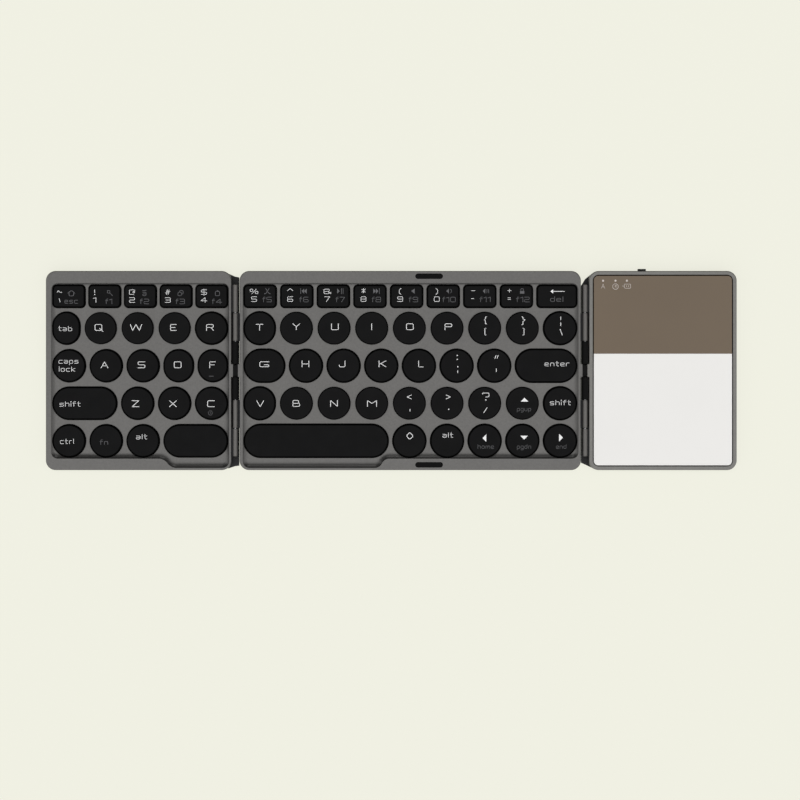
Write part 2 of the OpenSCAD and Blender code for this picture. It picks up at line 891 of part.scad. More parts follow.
module switch_body() {
    color([0.3, 0.3, 0.31])
        difference() {
            block([knob_x - 2.2, rear - 6, board_top],
                  [knob_x + knob_width + switch_travel + 1.8, rear - 1.6, board_top + 2.1]);
            block([lever_x[0] - 0.5, rear - 4, lever_z[0] - 0.2],
                  [lever_x[1] + switch_travel + 0.6, rear, lever_z[1] + 0.2]);
        }
}

module power_switch() {
    color([0.05, 0.05, 0.05])
        union() {
            block([knob_x, rear - 1.5, knob_z[0]], [knob_x + knob_width, rear + knob_out, knob_z[1]]);
            block([lever_x[0], rear - 3.6, lever_z[0]], [lever_x[1], rear - 1, lever_z[1]]);
        }
}

// ---------- keys ----------

module left_number_keys() { keycaps("left_number_keys", LEFT_KEYS, left_hole); }
module tab_key() { keycaps("tab_key", LEFT_KEYS, left_hole); }
module left_letter_keys() { keycaps("left_letter_keys", LEFT_KEYS, left_hole); }
module caps_lock_key() { keycaps("caps_lock_key", LEFT_KEYS, left_hole); }
module left_shift_key() { keycaps("left_shift_key", LEFT_KEYS, left_hole); }
module ctrl_key() { keycaps("ctrl_key", LEFT_KEYS, left_hole); }
module fn_key() { keycaps("fn_key", LEFT_KEYS, left_hole); }
module left_alt_key() { keycaps("left_alt_key", LEFT_KEYS, left_hole); }
module left_space_key() { keycaps("left_space_key", LEFT_KEYS, left_hole); }
module centre_number_keys() { keycaps("centre_number_keys", CENTRE_KEYS, centre_hole); }
module delete_key() { keycaps("delete_key", CENTRE_KEYS, centre_hole); }
module centre_letter_keys() { keycaps("centre_letter_keys", CENTRE_KEYS, centre_hole); }
module enter_key() { keycaps("enter_key", CENTRE_KEYS, centre_hole); }
module up_key() { keycaps("up_key", CENTRE_KEYS, centre_hole); }
module right_shift_key() { keycaps("right_shift_key", CENTRE_KEYS, centre_hole); }
module space_key() { keycaps("space_key", CENTRE_KEYS, centre_hole); }
module meta_key() { keycaps("meta_key", CENTRE_KEYS, centre_hole); }
module right_alt_key() { keycaps("right_alt_key", CENTRE_KEYS, centre_hole); }
module left_key() { keycaps("left_key", CENTRE_KEYS, centre_hole); }
module down_key() { keycaps("down_key", CENTRE_KEYS, centre_hole); }
module right_key() { keycaps("right_key", CENTRE_KEYS, centre_hole); }

centre_bottom_cover();
centre_top_frame();
centre_key_plate();
centre_membrane();
centre_domes();
centre_scissors();
bumpers();
centre_feet();
centre_screws();
centre_magnets();
centre_hinge_leaves();
hinge_pins();
left_bottom_cover();
left_top_frame();
left_key_plate();
left_membrane();
left_domes();
left_scissors();
left_feet();
left_screws();
left_magnets();
left_hinge_leaf();
left_hinge_sleeves();
left_flex_cable();
right_bottom_cover();
right_top_frame();
touch_surface();
touchpad_board();
main_board();
battery();
usb_port();
switch_body();
power_switch();
right_feet();
right_screws();
right_magnets();
right_hinge_leaf();
right_hinge_sleeves();
right_flex_cable();
left_number_keys();
tab_key();
left_letter_keys();
caps_lock_key();
left_shift_key();
ctrl_key();
fn_key();
left_alt_key();
left_space_key();
centre_number_keys();
delete_key();
centre_letter_keys();
enter_key();
up_key();
right_shift_key();
space_key();
meta_key();
right_alt_key();
left_key();
down_key();
right_key();
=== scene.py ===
"""Looks of a three-panel folding keyboard with a touch panel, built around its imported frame."""

import math
from collections import namedtuple

import bmesh
import bpy
from mathutils import Matrix, Vector


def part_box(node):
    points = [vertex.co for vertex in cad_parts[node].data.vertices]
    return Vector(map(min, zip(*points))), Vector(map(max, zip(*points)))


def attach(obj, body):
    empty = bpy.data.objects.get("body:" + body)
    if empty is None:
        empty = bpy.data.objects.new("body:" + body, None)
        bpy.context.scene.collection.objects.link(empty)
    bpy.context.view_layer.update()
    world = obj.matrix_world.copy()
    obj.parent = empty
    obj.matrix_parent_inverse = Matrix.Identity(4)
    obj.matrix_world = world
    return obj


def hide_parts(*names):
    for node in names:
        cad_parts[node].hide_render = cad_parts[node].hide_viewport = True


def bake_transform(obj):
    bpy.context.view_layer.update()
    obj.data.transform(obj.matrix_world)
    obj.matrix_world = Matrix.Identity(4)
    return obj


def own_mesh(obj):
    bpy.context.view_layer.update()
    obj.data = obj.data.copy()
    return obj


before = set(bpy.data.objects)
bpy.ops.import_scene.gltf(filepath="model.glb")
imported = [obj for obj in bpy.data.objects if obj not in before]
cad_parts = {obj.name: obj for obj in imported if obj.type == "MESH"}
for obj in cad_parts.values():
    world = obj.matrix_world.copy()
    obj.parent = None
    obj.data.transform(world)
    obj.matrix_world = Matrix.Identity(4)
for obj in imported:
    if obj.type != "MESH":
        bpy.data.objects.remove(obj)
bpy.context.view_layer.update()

bl_info = {
    "name": "Folding keyboard",
    "version": (1, 0, 0),
    "blender": (4, 5, 0),
    "location": "3D View > Sidebar > Keyboard",
    "description": "Caps, legends, frames, hinges and finishes of a three-panel folding keyboard",
    "category": "Object",
}

# ---------- sizes, in millimetres unless a name says otherwise ----------

MM = 0.001


def box_mm(node):
    """Lowest and highest corner of a CAD node, in millimetres."""
    low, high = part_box(node)
    return low / MM, high / MM


# Panels, read from the frame; a frame's nub stands out of its edge into the hinge gap
NUB = 0.8
NUB_ROOT = 0.5
NUB_RISE = 0.4
LEFT_X = (box_mm("left_top_frame")[0].x, box_mm("left_top_frame")[1].x - NUB)
CENTRE_X = (box_mm("centre_top_frame")[0].x + NUB, box_mm("centre_top_frame")[1].x - NUB)
RIGHT_X = (box_mm("right_top_frame")[0].x + NUB, box_mm("right_top_frame")[1].x)
REAR = box_mm("left_top_frame")[1].y
SEAM = box_mm("left_top_frame")[0].z
RIM_TOP = box_mm("left_top_frame")[1].z
COVER_BOTTOM = box_mm("left_bottom_cover")[0].z
COVER_FLOOR = COVER_BOTTOM + 0.6
HINGE_GAP = CENTRE_X[0] - LEFT_X[1]
PANEL_CORNER = 4.8
FINE_CHAMFER = 0.12

# Key recess: its depth, the rims round it and the bends in its front edge
RECESS_DEPTH = 1.5
DECK_TOP = RIM_TOP - RECESS_DEPTH
DECK_BOTTOM = DECK_TOP - 0.8
REAR_RIM = 6.05
FRONT_RIM = 5.75
THIN_RIM = 1.2
RECESS_CORNER = 3.2
LEFT_SIDE_RIMS = (2.7, 1.2)
CENTRE_SIDE_RIMS = (1.7, 1.3)
LEFT_BEND = (LEFT_X[0] + 55.7, LEFT_X[0] + 64.1)
CENTRE_BEND = (CENTRE_X[1] - 101.3, CENTRE_X[1] - 94.4)
CAVITY_GROW = 0.4

# Keys; those of the number row are shorter than NUMBER_ROW from front to rear
LIP = 0.3
KEY_GAP = 0.3
CAP_WALL = 0.8
CAP_ROOF = 0.9
FLANGE = 0.55
NUMBER_CORNER = 2.3
NUMBER_ROW = 13.0
# Part of the cap's edge that keeps the tone of its top; below it the cap's sides are painted darker, as
# painted shade
SHOULDER = 0.04
LEFT_KEYS = ["left_number_keys", "tab_key", "left_letter_keys", "caps_lock_key", "left_shift_key",
             "ctrl_key", "fn_key", "left_alt_key", "left_space_key"]
CENTRE_KEYS = ["centre_number_keys", "delete_key", "centre_letter_keys", "enter_key", "up_key",
               "right_shift_key", "space_key", "meta_key", "right_alt_key", "left_key", "down_key",
               "right_key"]

# Hinges: knuckles and sleeves are given by their reach from the middle of the gap along Y
AXIS_Z = box_mm("hinge_pins")[0].z + 0.5
LEFT_AXIS = (LEFT_X[1] + CENTRE_X[0]) / 2
RIGHT_AXIS = (CENTRE_X[1] + RIGHT_X[0]) / 2
BARREL = 1.2
PIN = 0.5
BORE = 0.53
PIN_START = 3.4
PIN_EDGE = 0.1
SLEEVE = 1.5
SLEEVE_EDGE = 0.2
SLEEVE_SPAN = (3.2, 14.3)
INNER_KNUCKLE = (14.5, 28.3)
OUTER_KNUCKLE = (28.6, 42.2)
LEAF = 0.4
LEAF_TOP = AXIS_Z - 0.6
LEAF_CLEARANCE = 0.02
ARM = 0.6
ARM_SUNK = 0.1
NECK = 3.2

# Ribbon cables: thickness, half the width, and the middle of the film along its route
RIBBON = 0.2
RIBBON_HALF = 2.6
RIBBON_BRIDGE = AXIS_Z - 0.4 - RIBBON / 2
RIBBON_RUN = SEAM + 0.8 + RIBBON / 2
RIBBON_LEG = 1.55 + RIBBON / 2
RIBBON_BEND = 0.25
RIBBON_CLEARANCE = 0.06
# Where the ends of each cable stand, to either side of the hinge axis
LEFT_RIBBON_FEET = (-3.0, 3.4)
RIGHT_RIBBON_FEET = (-3.1, 9.4)

# Rest pads in the centre frame's rims
PAD_SIZE = Vector((13.5, 2.55))
PAD_X = box_mm("bumpers")[0].x + PAD_SIZE.x / 2
PAD_Y = REAR - 2.6
PAD_BOTTOM = RIM_TOP - 0.8
PAD_TOP = RIM_TOP + 0.25
PAD_EDGE = 0.35
PAD_CLEARANCE = 0.06

# Covers, feet and screws; a tongue stops short of the front and rear edges, more so further out
TONGUE = 0.6
TONGUE_EDGE = 0.1
TONGUE_ROOT = 2
TONGUE_CLEARANCE = 0.6
LEFT_TONGUE_ENDS = ((0.6, 1.7, 2.0), (0.9, 2.4, 2.8))
RIGHT_TONGUE_ENDS = ((0.9, 2.5, 3.4), (0.9, 3.6, 7.0))
NOTCH_HALF = 3
NOTCH_RISE = 0.8
FOOT_SUNK = 0.2
FOOT_RADIUS = 4.0
FOOT_CLEARANCE = 0.02
SCREW_CLEARANCE = 0.05
SCREW_HEAD = 1.4
SCREW_HEAD_HEIGHT = 0.6
SCREW_SHANK = 0.7
SEAT_DEPTH = 0.65
CROSS_REACH = 0.85
CROSS_HALF = 0.16
CROSS_DEPTH = 0.35

# Touch panel
TOUCH_RIM = 1.9
TOUCH_BOTTOM = box_mm("touch_surface")[0].z
TOUCH_LEDGE = 1.6
TOUCH_CAVITY = 1.5
TOUCH_EDGE = 0.15
PANEL_DIVISION_Y = 8.25
# Gasket: a strip in the groove round the touch plate, black as painted shade that darkens the groove
GASKET_FIT = Vector((0.03, 0.03))
GASKET_CLEARANCE = 0.02
GASKET_HEIGHT = 0.15
# Status signs: the sign, where it stands along X, and its scale both ways
STATUS_MARKS = [("A", 104.2, (0.29, 0.36)), ("link", 110.3, (0.38, 0.38)), ("battery", 115.9, (0.34, 0.34))]
STATUS_SIGN_Y = 41.5
STATUS_LIGHT_Y = 44.2
STATUS_LIGHT = 0.5
STATUS_RISE = 0.01

# Charging port and power switch
PORT = box_mm("usb_port")
PORT_CORNER = 1.0
PORT_WALL = 0.3
PORT_OPENING = 0.1
CONTACT_HALF = 2.2
CONTACT_RISE = (1.3, 1.8)
KNOB = box_mm("power_switch")
KNOB_GROOVES = (0.8, 1.4, 2.0, 2.6, 3.2)
GROOVE_HALF = 0.12
GROOVE_DEPTH = 0.18
SWITCH_LENGTH = 4.0
SWITCH_TRAVEL = 2.0
SWITCH_CLEARANCE = 0.3
SWITCH_SLOT_Z = (2.1, 3.9)
LEVER_Z = (2.6, 3.4)

# Stage: the width that the camera sees, its middle, and the sky's axis and soft edge
VIEW_WIDTH = 393.6
VIEW_CENTRE = (4.28, -14.5)
SENSOR = 36.0
FLOOR_REACH = 15000
FLOOR_GLOW = 0.86
SKY_AXIS = (0, -0.42, 0.91)
SKY_EDGE = (0.4, 0.82)
# Lamps: places and sizes in metres; the side lamp stands at both sides
SIDE_LAMP = Vector((1.1, -0.1, 0.45))
SIDE_LAMP_SIZE = (1.2, 0.9)
REAR_LAMP = Vector((0, 0.75, 0.45))
REAR_LAMP_SIZE = (0.3, 0.15)

# Shapes and shading: how deep a mark or light is sunk, the radius of a round end as part of half its
# width, the least angle of a sharp edge in degrees, and how level a face has to be to stay flat
SUNK = 0.02
ROUND = 0.999
SHARP_ANGLE = 32
LEVEL = 0.99999

Key = namedtuple("Key", "x0 x1 y0 y1 bottom top")


# ---------- settings ----------

def colour_setting(name, description, default):
    return bpy.props.FloatVectorProperty(
        name=name, description=description, subtype="COLOR", size=3, min=0, max=1, default=default)


def number_setting(name, description, default, **more):
    return bpy.props.FloatProperty(name=name, description=description, default=default, **more)


def length_setting(name, description, millimetres):
    return number_setting(name, description, millimetres * MM, min=0, unit="LENGTH", precision=5)


def grey(value):
    return (value, value, value)


class CaseSettings(bpy.types.PropertyGroup):
    """Edges and colours of the frames and covers."""
    rim_edge: length_setting("Rim edge", "Rounding of the frames' upper edges", 0.4)
    cove: length_setting("Cove", "Width of the hollow slope from the rims down to the key deck", 3.1)
    cove_lip: length_setting("Recess lip", "Chamfer at the top of the slope", 0.12)
    cover_edge: length_setting("Cover edge", "Rounding of the covers' lower edges", 0.9)
    frame_colour: colour_setting("Frame", "Anodised metal of the key frames", (0.128, 0.125, 0.121))
    # painted light: the touch frame takes a lighter copy of the frame metal, for brighter light on the right
    # panel
    touch_frame_lit_colour: colour_setting("Touch frame", "Anodised metal round the touch surface",
                                       (0.172, 0.169, 0.159))
    cover_colour: colour_setting("Cover", "Painted bottom covers", (0.015, 0.015, 0.0155))


class KeySettings(bpy.types.PropertyGroup):
    """Edges and colours of the keys and their legends."""
    cap_edge: length_setting("Cap edge", "Rounding of the caps' upper edges", 0.75)
    legend_height: length_setting("Legend height", "How far the printed legends stand up", 0.02)
    cap_colour: colour_setting("Caps", "Moulded keycaps", (0.0086, 0.0086, 0.0088))
    legend_colour: colour_setting("Legends", "Main legends", (0.93, 0.93, 0.93))
    second_colour: colour_setting("Second legends", "Legends of the second layer", (0.108, 0.108, 0.114))


class TouchSettings(bpy.types.PropertyGroup):
    """Colours of the touch surface."""
    upper_colour: colour_setting("Upper field", "Rear field of the touch surface", (0.146, 0.107, 0.069))
    lower_colour: colour_setting("Lower field", "Front field of the touch surface", (0.87, 0.86, 0.835))
    division: length_setting("Division", "Where the two fields meet, ahead of the middle", PANEL_DIVISION_Y)
    corner: length_setting("Corner", "Corner radius of the touch surface", 2.2)
    mark_colour: colour_setting("Marks", "Status lights and their signs", (0.62, 0.56, 0.52))


class HingeSettings(bpy.types.PropertyGroup):
    """Edges and colours of the hinges."""
    barrel_edge: length_setting("Barrel edge", "Chamfer at the ends of the barrels", 0.22)
    barrel_colour: colour_setting("Barrels", "Satin metal of the barrels", (0.145, 0.139, 0.132))
    sleeve_colour: colour_setting("Sleeves", "Black sleeves beside the cable", (0.003, 0.003, 0.003))


class StageSettings(bpy.types.PropertyGroup):
    """Camera, lamps and background."""
    lens: number_setting("Lens", "Focal length", 75, subtype="DISTANCE_CAMERA")
    background: colour_setting("Background", "Floor as the camera sees it", (0.880, 0.880, 0.775))
    side_power: number_setting("Side lamps", "Power of each side lamp", 2.6, unit="POWER")
    rear_power: number_setting("Rear lamp", "Power of the rear lamp", 0.3, unit="POWER")
    overhead: number_setting("Overhead", "Strength of the sky overhead", 1.4)
    surround: number_setting("Surround", "Strength of the sky behind and low down", 0.05)


SETTINGS = {
    "keyboard_case": CaseSettings,
    "keyboard_keys": KeySettings,
    "keyboard_touch": TouchSettings,
    "keyboard_hinges": HingeSettings,
    "keyboard_stage": StageSettings,
}


def settings(group):
    return getattr(bpy.context.scene, "keyboard_" + group)


# ---------- shapes ----------

def joined(parts):
    """One bmesh holding several, which are freed."""
    whole = bmesh.new()
    for part in parts:
        stamp(whole, part)
        part.free()
    return whole


def stamp(whole, part, at=(0, 0, 0), scale=(1, 1, 1)):
    """Copies a part into a whole, scaled and moved."""
    mesh = bpy.data.meshes.new("stamp")
    part.to_mesh(mesh)
    mesh.transform(Matrix.Translation(at) @ Matrix.Diagonal((*scale, 1)))
    whole.from_mesh(mesh)
    bpy.data.meshes.remove(mesh)


def flat_shape(points, z):
    """A bmesh with one flat face."""
    bm = bmesh.new()
    bm.faces.new([bm.verts.new((x, y, z)) for x, y in points])
    return bm


def round_corners(bm, corners, radius, segments=10):
    """Rounds the corners of a flat shape that lie nearest the given points."""
    for corner in corners:
        vertex = min(bm.verts, key=lambda v: (v.co.xy - Vector(corner)).length)
        bmesh.ops.bevel(bm, geom=[vertex], offset=radius, offset_type="OFFSET", segments=segments,
                        profile=0.5, affect="VERTICES", material=-1, clamp_overlap=False)


def rectangle(low, high):
    return [(low[0], low[1]), (high[0], low[1]), (high[0], high[1]), (low[0], high[1])]


def round_rectangle(low, high, z, radius, segments=10):
    corners = rectangle(low, high)
    bm = flat_shape(corners, z)
    if radius:
        round_corners(bm, corners, radius, segments)
        bmesh.ops.remove_doubles(bm, verts=bm.verts, dist=0.01 * radius)
    return bm


def face_among(parts):
    return next(part for part in parts if isinstance(part, bmesh.types.BMFace))


def first_raise(bm, height):
    """Raises the only face of a bmesh into a solid; returns its first face and the raised one."""
    bottom = next(iter(bm.faces))
    top = face_among(bmesh.ops.extrude_face_region(bm, geom=[bottom])["geom"])
    bmesh.ops.translate(bm, vec=(0, 0, height), verts=top.verts)
    bmesh.ops.recalc_face_normals(bm, faces=bm.faces)
    return bottom, top


def raise_face(bm, face, height):
    """Carries a face along Z, with a wall behind it."""
    face = bmesh.ops.extrude_discrete_faces(bm, faces=[face])["faces"][0]
    bmesh.ops.translate(bm, vec=(0, 0, height), verts=face.verts)
    return face


def draw_in(bm, face, inset, rise=0.0):
    """Makes a face smaller all round, leaving a ring that rises."""
    bmesh.ops.inset_region(bm, faces=[face], thickness=inset, use_even_offset=True, use_boundary=True)
    if rise:
        bmesh.ops.translate(bm, vec=(0, 0, rise), verts=face.verts)
    return face


def round_over(bm, face, radius, direction=1, segments=5):
    """Ends a wall in a quarter round; direction is 1 upwards and -1 downwards."""
    for n in range(segments):
        start = math.pi / 2 * n / segments
        end = math.pi / 2 * (n + 1) / segments
        inset = radius * (math.cos(start) - math.cos(end))
        rise = radius * (math.sin(end) - math.sin(start)) * direction
        face = draw_in(bm, face, inset, rise)
    return face


def slab(low, high, bottom, top, corner=0.0, edge=0.0, under=0.0, segments=3):
    """A plate with round corners, and round upper and lower edges."""
    bm = round_rectangle(low, high, bottom + under, corner, max(4, round(corner * 4)))
    below, above = first_raise(bm, top - bottom - edge - under)
    if edge:
        round_over(bm, above, edge, 1, segments)
    if under:
        round_over(bm, below, under, -1, segments)
    return bm


def block(xs, ys, zs, edge=0.0):
    """A block between two places along each axis, given in either order."""
    low, high = zip(*(sorted(places) for places in (xs, ys, zs)))
    return slab(low[:2], high[:2], low[2], high[2], edge * 1.5, edge, edge, 2)


def around(middle, half):
    return middle - half, middle + half


def cylinder(at, radius, bottom, top, segments=32):
    bm = bmesh.new()
    bmesh.ops.create_cone(bm, cap_ends=True, segments=segments, radius1=radius, radius2=radius,
                          depth=top - bottom, matrix=Matrix.Translation((*at, (bottom + top) / 2)))
    return bm


def laid_back(bm, at):
    """Tips a shape drawn upright so that its top points to the front, and moves it."""
    bmesh.ops.rotate(bm, cent=(0, 0, 0), matrix=Matrix.Rotation(math.pi / 2, 3, "X"), verts=bm.verts)
    bmesh.ops.translate(bm, vec=at, verts=bm.verts)
    return bm


def turned(section, axis_x, axis_z, segments=40):
    """A ring turned about a hinge axis; the section is a list of (place along Y, radius)."""
    bm = bmesh.new()
    corners = [bm.verts.new((axis_x, y, axis_z + radius)) for y, radius in section]
    edges = [bm.edges.new((a, b)) for a, b in zip(corners, corners[1:] + corners[:1])]
    bmesh.ops.spin(bm, geom=corners + edges, cent=(axis_x, 0, axis_z), axis=(0, 1, 0), dvec=(0, 0, 0),
                   angle=2 * math.pi, steps=segments, use_merge=True)
    bmesh.ops.remove_doubles(bm, verts=bm.verts, dist=0.001)
    return bm


def tube(axis_x, axis_z, span, outer, bore, edge):
    return turned([(span[0], bore), (span[0], outer - edge), (span[0] + edge, outer),
                   (span[1] - edge, outer), (span[1], outer - edge), (span[1], bore)], axis_x, axis_z)


def scratch_object(name, bm):
    mesh = bpy.data.meshes.new(name)
    bmesh.ops.recalc_face_normals(bm, faces=bm.faces)
    bm.to_mesh(mesh)
    bm.free()
    made = bpy.data.objects.new(name, mesh)
    bpy.context.scene.collection.objects.link(made)
    return made


def combined(bm, others, operation):
    """Combines a solid with others, which mustn't cut into each other."""
    solid = scratch_object("solid", bm)
    cutter = scratch_object("cutter", joined(others))
    cut = solid.modifiers.new("cut", "BOOLEAN")
    cut.operation = operation
    cut.solver = "EXACT"
    cut.object = cutter
    bpy.context.view_layer.update()
    left = bmesh.new()
    left.from_object(solid, bpy.context.evaluated_depsgraph_get())
    if len(left.faces) < 6:
        raise RuntimeError("a cut left nothing of the solid")
    for used in (solid, cutter):
        mesh = used.data
        bpy.data.objects.remove(used)
        bpy.data.meshes.remove(mesh)
    return left


def carve(bm, cutters):
    """Takes solids out of a solid."""
    return combined(bm, cutters, "DIFFERENCE")


def united(bm, additions):
    """Joins solids that overlap a solid, one after another."""
    for addition in additions:
        bm = combined(bm, [addition], "UNION")
    return bm


def piece(bm, name, body, finish, slot, replaces=()):
    """Makes a finished piece of a bmesh drawn in millimetres, gives it its body, and hides the nodes it
    replaces; its slot is not used.
    """
    bmesh.ops.recalc_face_normals(bm, faces=bm.faces)
    bmesh.ops.scale(bm, vec=(MM, MM, MM), verts=bm.verts)
    mesh = bpy.data.meshes.new(name)
    bm.to_mesh(mesh)
    bm.free()
    if not mesh.polygons:
        raise RuntimeError(name + " has no faces")
    mesh.materials.append(finish)
    mesh.polygons.foreach_set("use_smooth", [True] * len(mesh.polygons))
    mesh.set_sharp_from_angle(angle=math.radians(SHARP_ANGLE))
    for face in mesh.polygons:
        face.use_smooth = abs(face.normal.z) < LEVEL
    made = bpy.data.objects.new(name, mesh)
    bpy.context.scene.collection.objects.link(made)
    even = made.modifiers.new("even normals", "WEIGHTED_NORMAL")
    even.keep_sharp = True
    if body:
        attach(made, body)
    if replaces:
        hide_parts(*replaces)
    return made


# ---------- solids read from the frame ----------

def cad_copy(node):
    """A copy of a CAD node's mesh in millimetres, with its doubles merged."""
    bm = bmesh.new()
    bm.from_mesh(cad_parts[node].data)
    bmesh.ops.scale(bm, vec=(1 / MM, 1 / MM, 1 / MM), verts=bm.verts)
    bmesh.ops.remove_doubles(bm, verts=bm.verts, dist=0.001)
    return bm


def islands(bm):
    """The separate solids of a mesh, each as a list of vertices."""
    waiting = set(bm.verts)
    while waiting:
        found = set()
        front = [waiting.pop()]
        while front:
            vertex = front.pop()
            found.add(vertex)
            for edge in vertex.link_edges:
                other = edge.other_vert(vertex)
                if other in waiting:
                    waiting.remove(other)
                    front.append(other)
        yield list(found)


def boxes_of(node):
    """Lowest and highest corner of each separate solid of a CAD node."""
    bm = cad_copy(node)
    boxes = []
    for solid in islands(bm):
        xs, ys, zs = zip(*(v.co for v in solid))
        boxes.append((Vector((min(xs), min(ys), min(zs))), Vector((max(xs), max(ys), max(zs)))))
    bm.free()
    return boxes


def centres_of(node):
    """Middle of each separate solid of a CAD node, in the XY plane."""
    middles = [(low + high) / 2 for low, high in boxes_of(node)]
    return sorted({(round(middle.x, 2), round(middle.y, 2)) for middle in middles})


def keys_of(node):
    """The keys of a node from the rear row to the front row, and from left to right in a row."""
    keys = [Key(low.x + LIP, high.x - LIP, low.y + LIP, high.y - LIP, low.z, high.z)
            for low, high in boxes_of(node)]
    return sorted(keys, key=lambda key: (-round((key.y0 + key.y1) / 10), key.x0))


def key_outline(key, z, grow=0.0):
    """Outline of a key's hole, grown or drawn in: a rectangle in the number row, else round ends."""
    low = (key.x0 - grow, key.y0 - grow)
    high = (key.x1 + grow, key.y1 + grow)
    if key.y1 - key.y0 < NUMBER_ROW:
        return round_rectangle(low, high, z, NUMBER_CORNER + grow, 8)
    half = min(high[0] - low[0], high[1] - low[1]) / 2
    return round_rectangle(low, high, z, half * ROUND, 14)


def cap(key, edge):
    """A hollow cap with a lip that stops it under the deck."""
    bm = key_outline(key, key.bottom, LIP)
    bottom, top = first_raise(bm, FLANGE)
    top = draw_in(bm, top, LIP + KEY_GAP)
    top = raise_face(bm, top, key.top - key.bottom - FLANGE - edge)
    round_over(bm, top, edge)
    inside = draw_in(bm, bottom, LIP + KEY_GAP + CAP_WALL)
    raise_face(bm, inside, key.top - CAP_ROOF - key.bottom)
    return bm


# ---------- legends ----------

# Strokes on a grid: x, then y, with the base line at 2, small letters to 6 and capitals to 8.
# A comma ends a stroke, a lone point is a dot, and a star starts a filled shape.
GLYPHS = {
    "A": "02 38 62,14 54", "B": "02 08 58 55,05 65 62 02", "C": "68 08 02 62", "D": "08 02,08 68 62 02",
    "E": "58 08,08 02,02 52,05 45", "F": "58 08,08 02,05 45", "G": "88 08 03 83 85 45",
    "H": "08 02,68 62,05 65", "I": "08 02", "J": "58 52 02 04", "K": "08 02,05 15 68,25 62",
    "L": "08 02,02 42", "M": "02 08,08 45 88,88 82", "N": "02 08,08 62,62 68", "O": "38 68 62 02 08 38",
    "P": "02 08 68 65 05", "Q": "38 68 62 02 08 38,44 71", "R": "02 08 68 65 05,45 62",
    "S": "68 08 05 65 62 02", "T": "08 68,38 32", "U": "08 02 62 68", "V": "08 32 68",
    "W": "08 22 58 82 a8", "X": "08 62,02 68", "Y": "08 35 68,35 32", "Z": "08 68,68 02,02 62",
    "a": "06 46 42 02 04 44", "b": "08 02 42 46 06", "c": "46 06 02 42", "d": "48 42 02 06 46",
    "e": "42 02 06 46 44 04", "f": "38 18 12,06 36", "g": "46 06 02 42,46 40 00", "h": "08 02,06 46 42",
    "i": "06 02,08", "k": "08 02,46 04 42", "l": "08 02", "m": "02 06 66 62,36 32", "n": "02 06 46 42",
    "o": "26 46 42 02 06 26", "p": "00 06 46 42 02", "r": "02 06 36", "s": "46 06 04 44 42 02",
    "t": "18 12 32,06 36", "u": "06 02 42 46", "0": "38 68 62 02 08 38", "1": "07 38 32",
    "2": "08 68 65 05 02 62", "3": "08 68 62 02,15 65", "4": "52 58 04 74", "5": "68 08 05 65 62 02",
    "6": "68 08 02 62 65 05", "7": "08 68 22", "8": "38 68 62 02 08 38,05 65", "9": "65 05 08 68 62 02",
    "!": "08 04,02", "@": "52 02 08 68 64 44 46 66", "#": "12 28,32 48,04 44,16 56",
    "$": "68 08 05 65 62 02,39 31", "%": "05 08 38 35 05,65 95 92 62 65,78 22", "^": "06 39 66",
    "&": "68 08 05 02 52 84,68 65 05,45 82", "*": "39 33,18 54,14 58", "(": "29 07 03 21",
    ")": "09 27 23 01", "_": "16 56", "+": "06 46,28 24", "~": "05 17 44 55", "`": "06 12", "-": "05 35",
    "=": "06 36,04 34", "{": "29 19 17 06 15 12 22", "}": "09 19 17 36 14 11 01",
    "[": "18 08,08 01,01 11", "]": "08 18,18 11,11 01", "|": "09 06,03 00", "\\": "07 21", ":": "08,04",
    ";": "07,03 01", '"': "18 05,38 25", "'": "15 12", "<": "46 04 42", ">": "06 44 02", ",": "02 00",
    ".": "02", "?": "07 08 68 64 34,31", "/": "00 35", "house": "05 38 65,15 12 52 55",
    "glass": "28 48 45 15 18 28,45 72", "select": "06 46 42 02 04 44,08 48",
    "copy": "02 06 46 42 02,26 28 68 64 44", "board": "02 07 57 52 02,28 38",
    "shears": "12 58,52 18,02,62", "back": "08 02,*48 15 42,*78 45 72", "play": "*08 35 02,58 52,78 72",
    "next": "*08 35 02,*38 65 32,78 72", "quiet": "*48 05 42", "low": "*38 05 32,57 66 64 53",
    "loud": "*38 05 32,57 53,77 73", "lock": "*02 05 55 52,15 18 48 45", "up": "*02 35 62",
    "down": "*05 65 32", "left": "*37 04 31", "right": "*07 34 01", "rub_out": "*27 05 23,25 a5",
    "diamond": "38 65 32 05 38", "link": "28 58 76 73 51 21 03 06 28,56 36 34 54",
    "battery": "28 b8 b2 22 28,06 04,56 54,86 84", "bar": "02 42",
}
BASE_LINE = 2
GLYPH_SPACE = 2.1
STROKE = 0.53
WORD_STROKE = 0.5
SECOND_STROKE = 0.54
DOT_SIZE = 1.0
CORNER = 1.15
SHARP = 0.05
# Turns in this range are drawn with the wide corner, and arcs in steps of about ARC_STEP (radians);
# an arc takes at most ARC_SHARE of either line, and a line that hardly turns runs straight on
WIDE_TURNS = (1.4, 1.75)
ARC_STEP = 0.45
ARC_SHARE = 0.49
STRAIGHT = 0.01
# Heights of the middles of capitals, digits and signs, and of small letters
HIGH_MIDDLE = 3
LOW_MIDDLE = 2.4
HIGH_GLYPHS = "ABCDEFGHIJKLMNOPQRSTUVWXYZ0123456789"
glyph_shapes = {}

Mark = namedtuple("Mark", "glyphs x y wide high second")


def grid_point(text):
    return Vector((int(text[0], 36), int(text[1], 36) - BASE_LINE))


def nib(bm, at, heading, width):
    """An upright face across a stroke."""
    side = Vector((-heading.y, heading.x)) * width / 2
    corners = [(at + side, 0), (at - side, 0), (at - side, 1), (at + side, 1)]
    return bm.faces.new([bm.verts.new((place.x, place.y, z)) for place, z in corners])


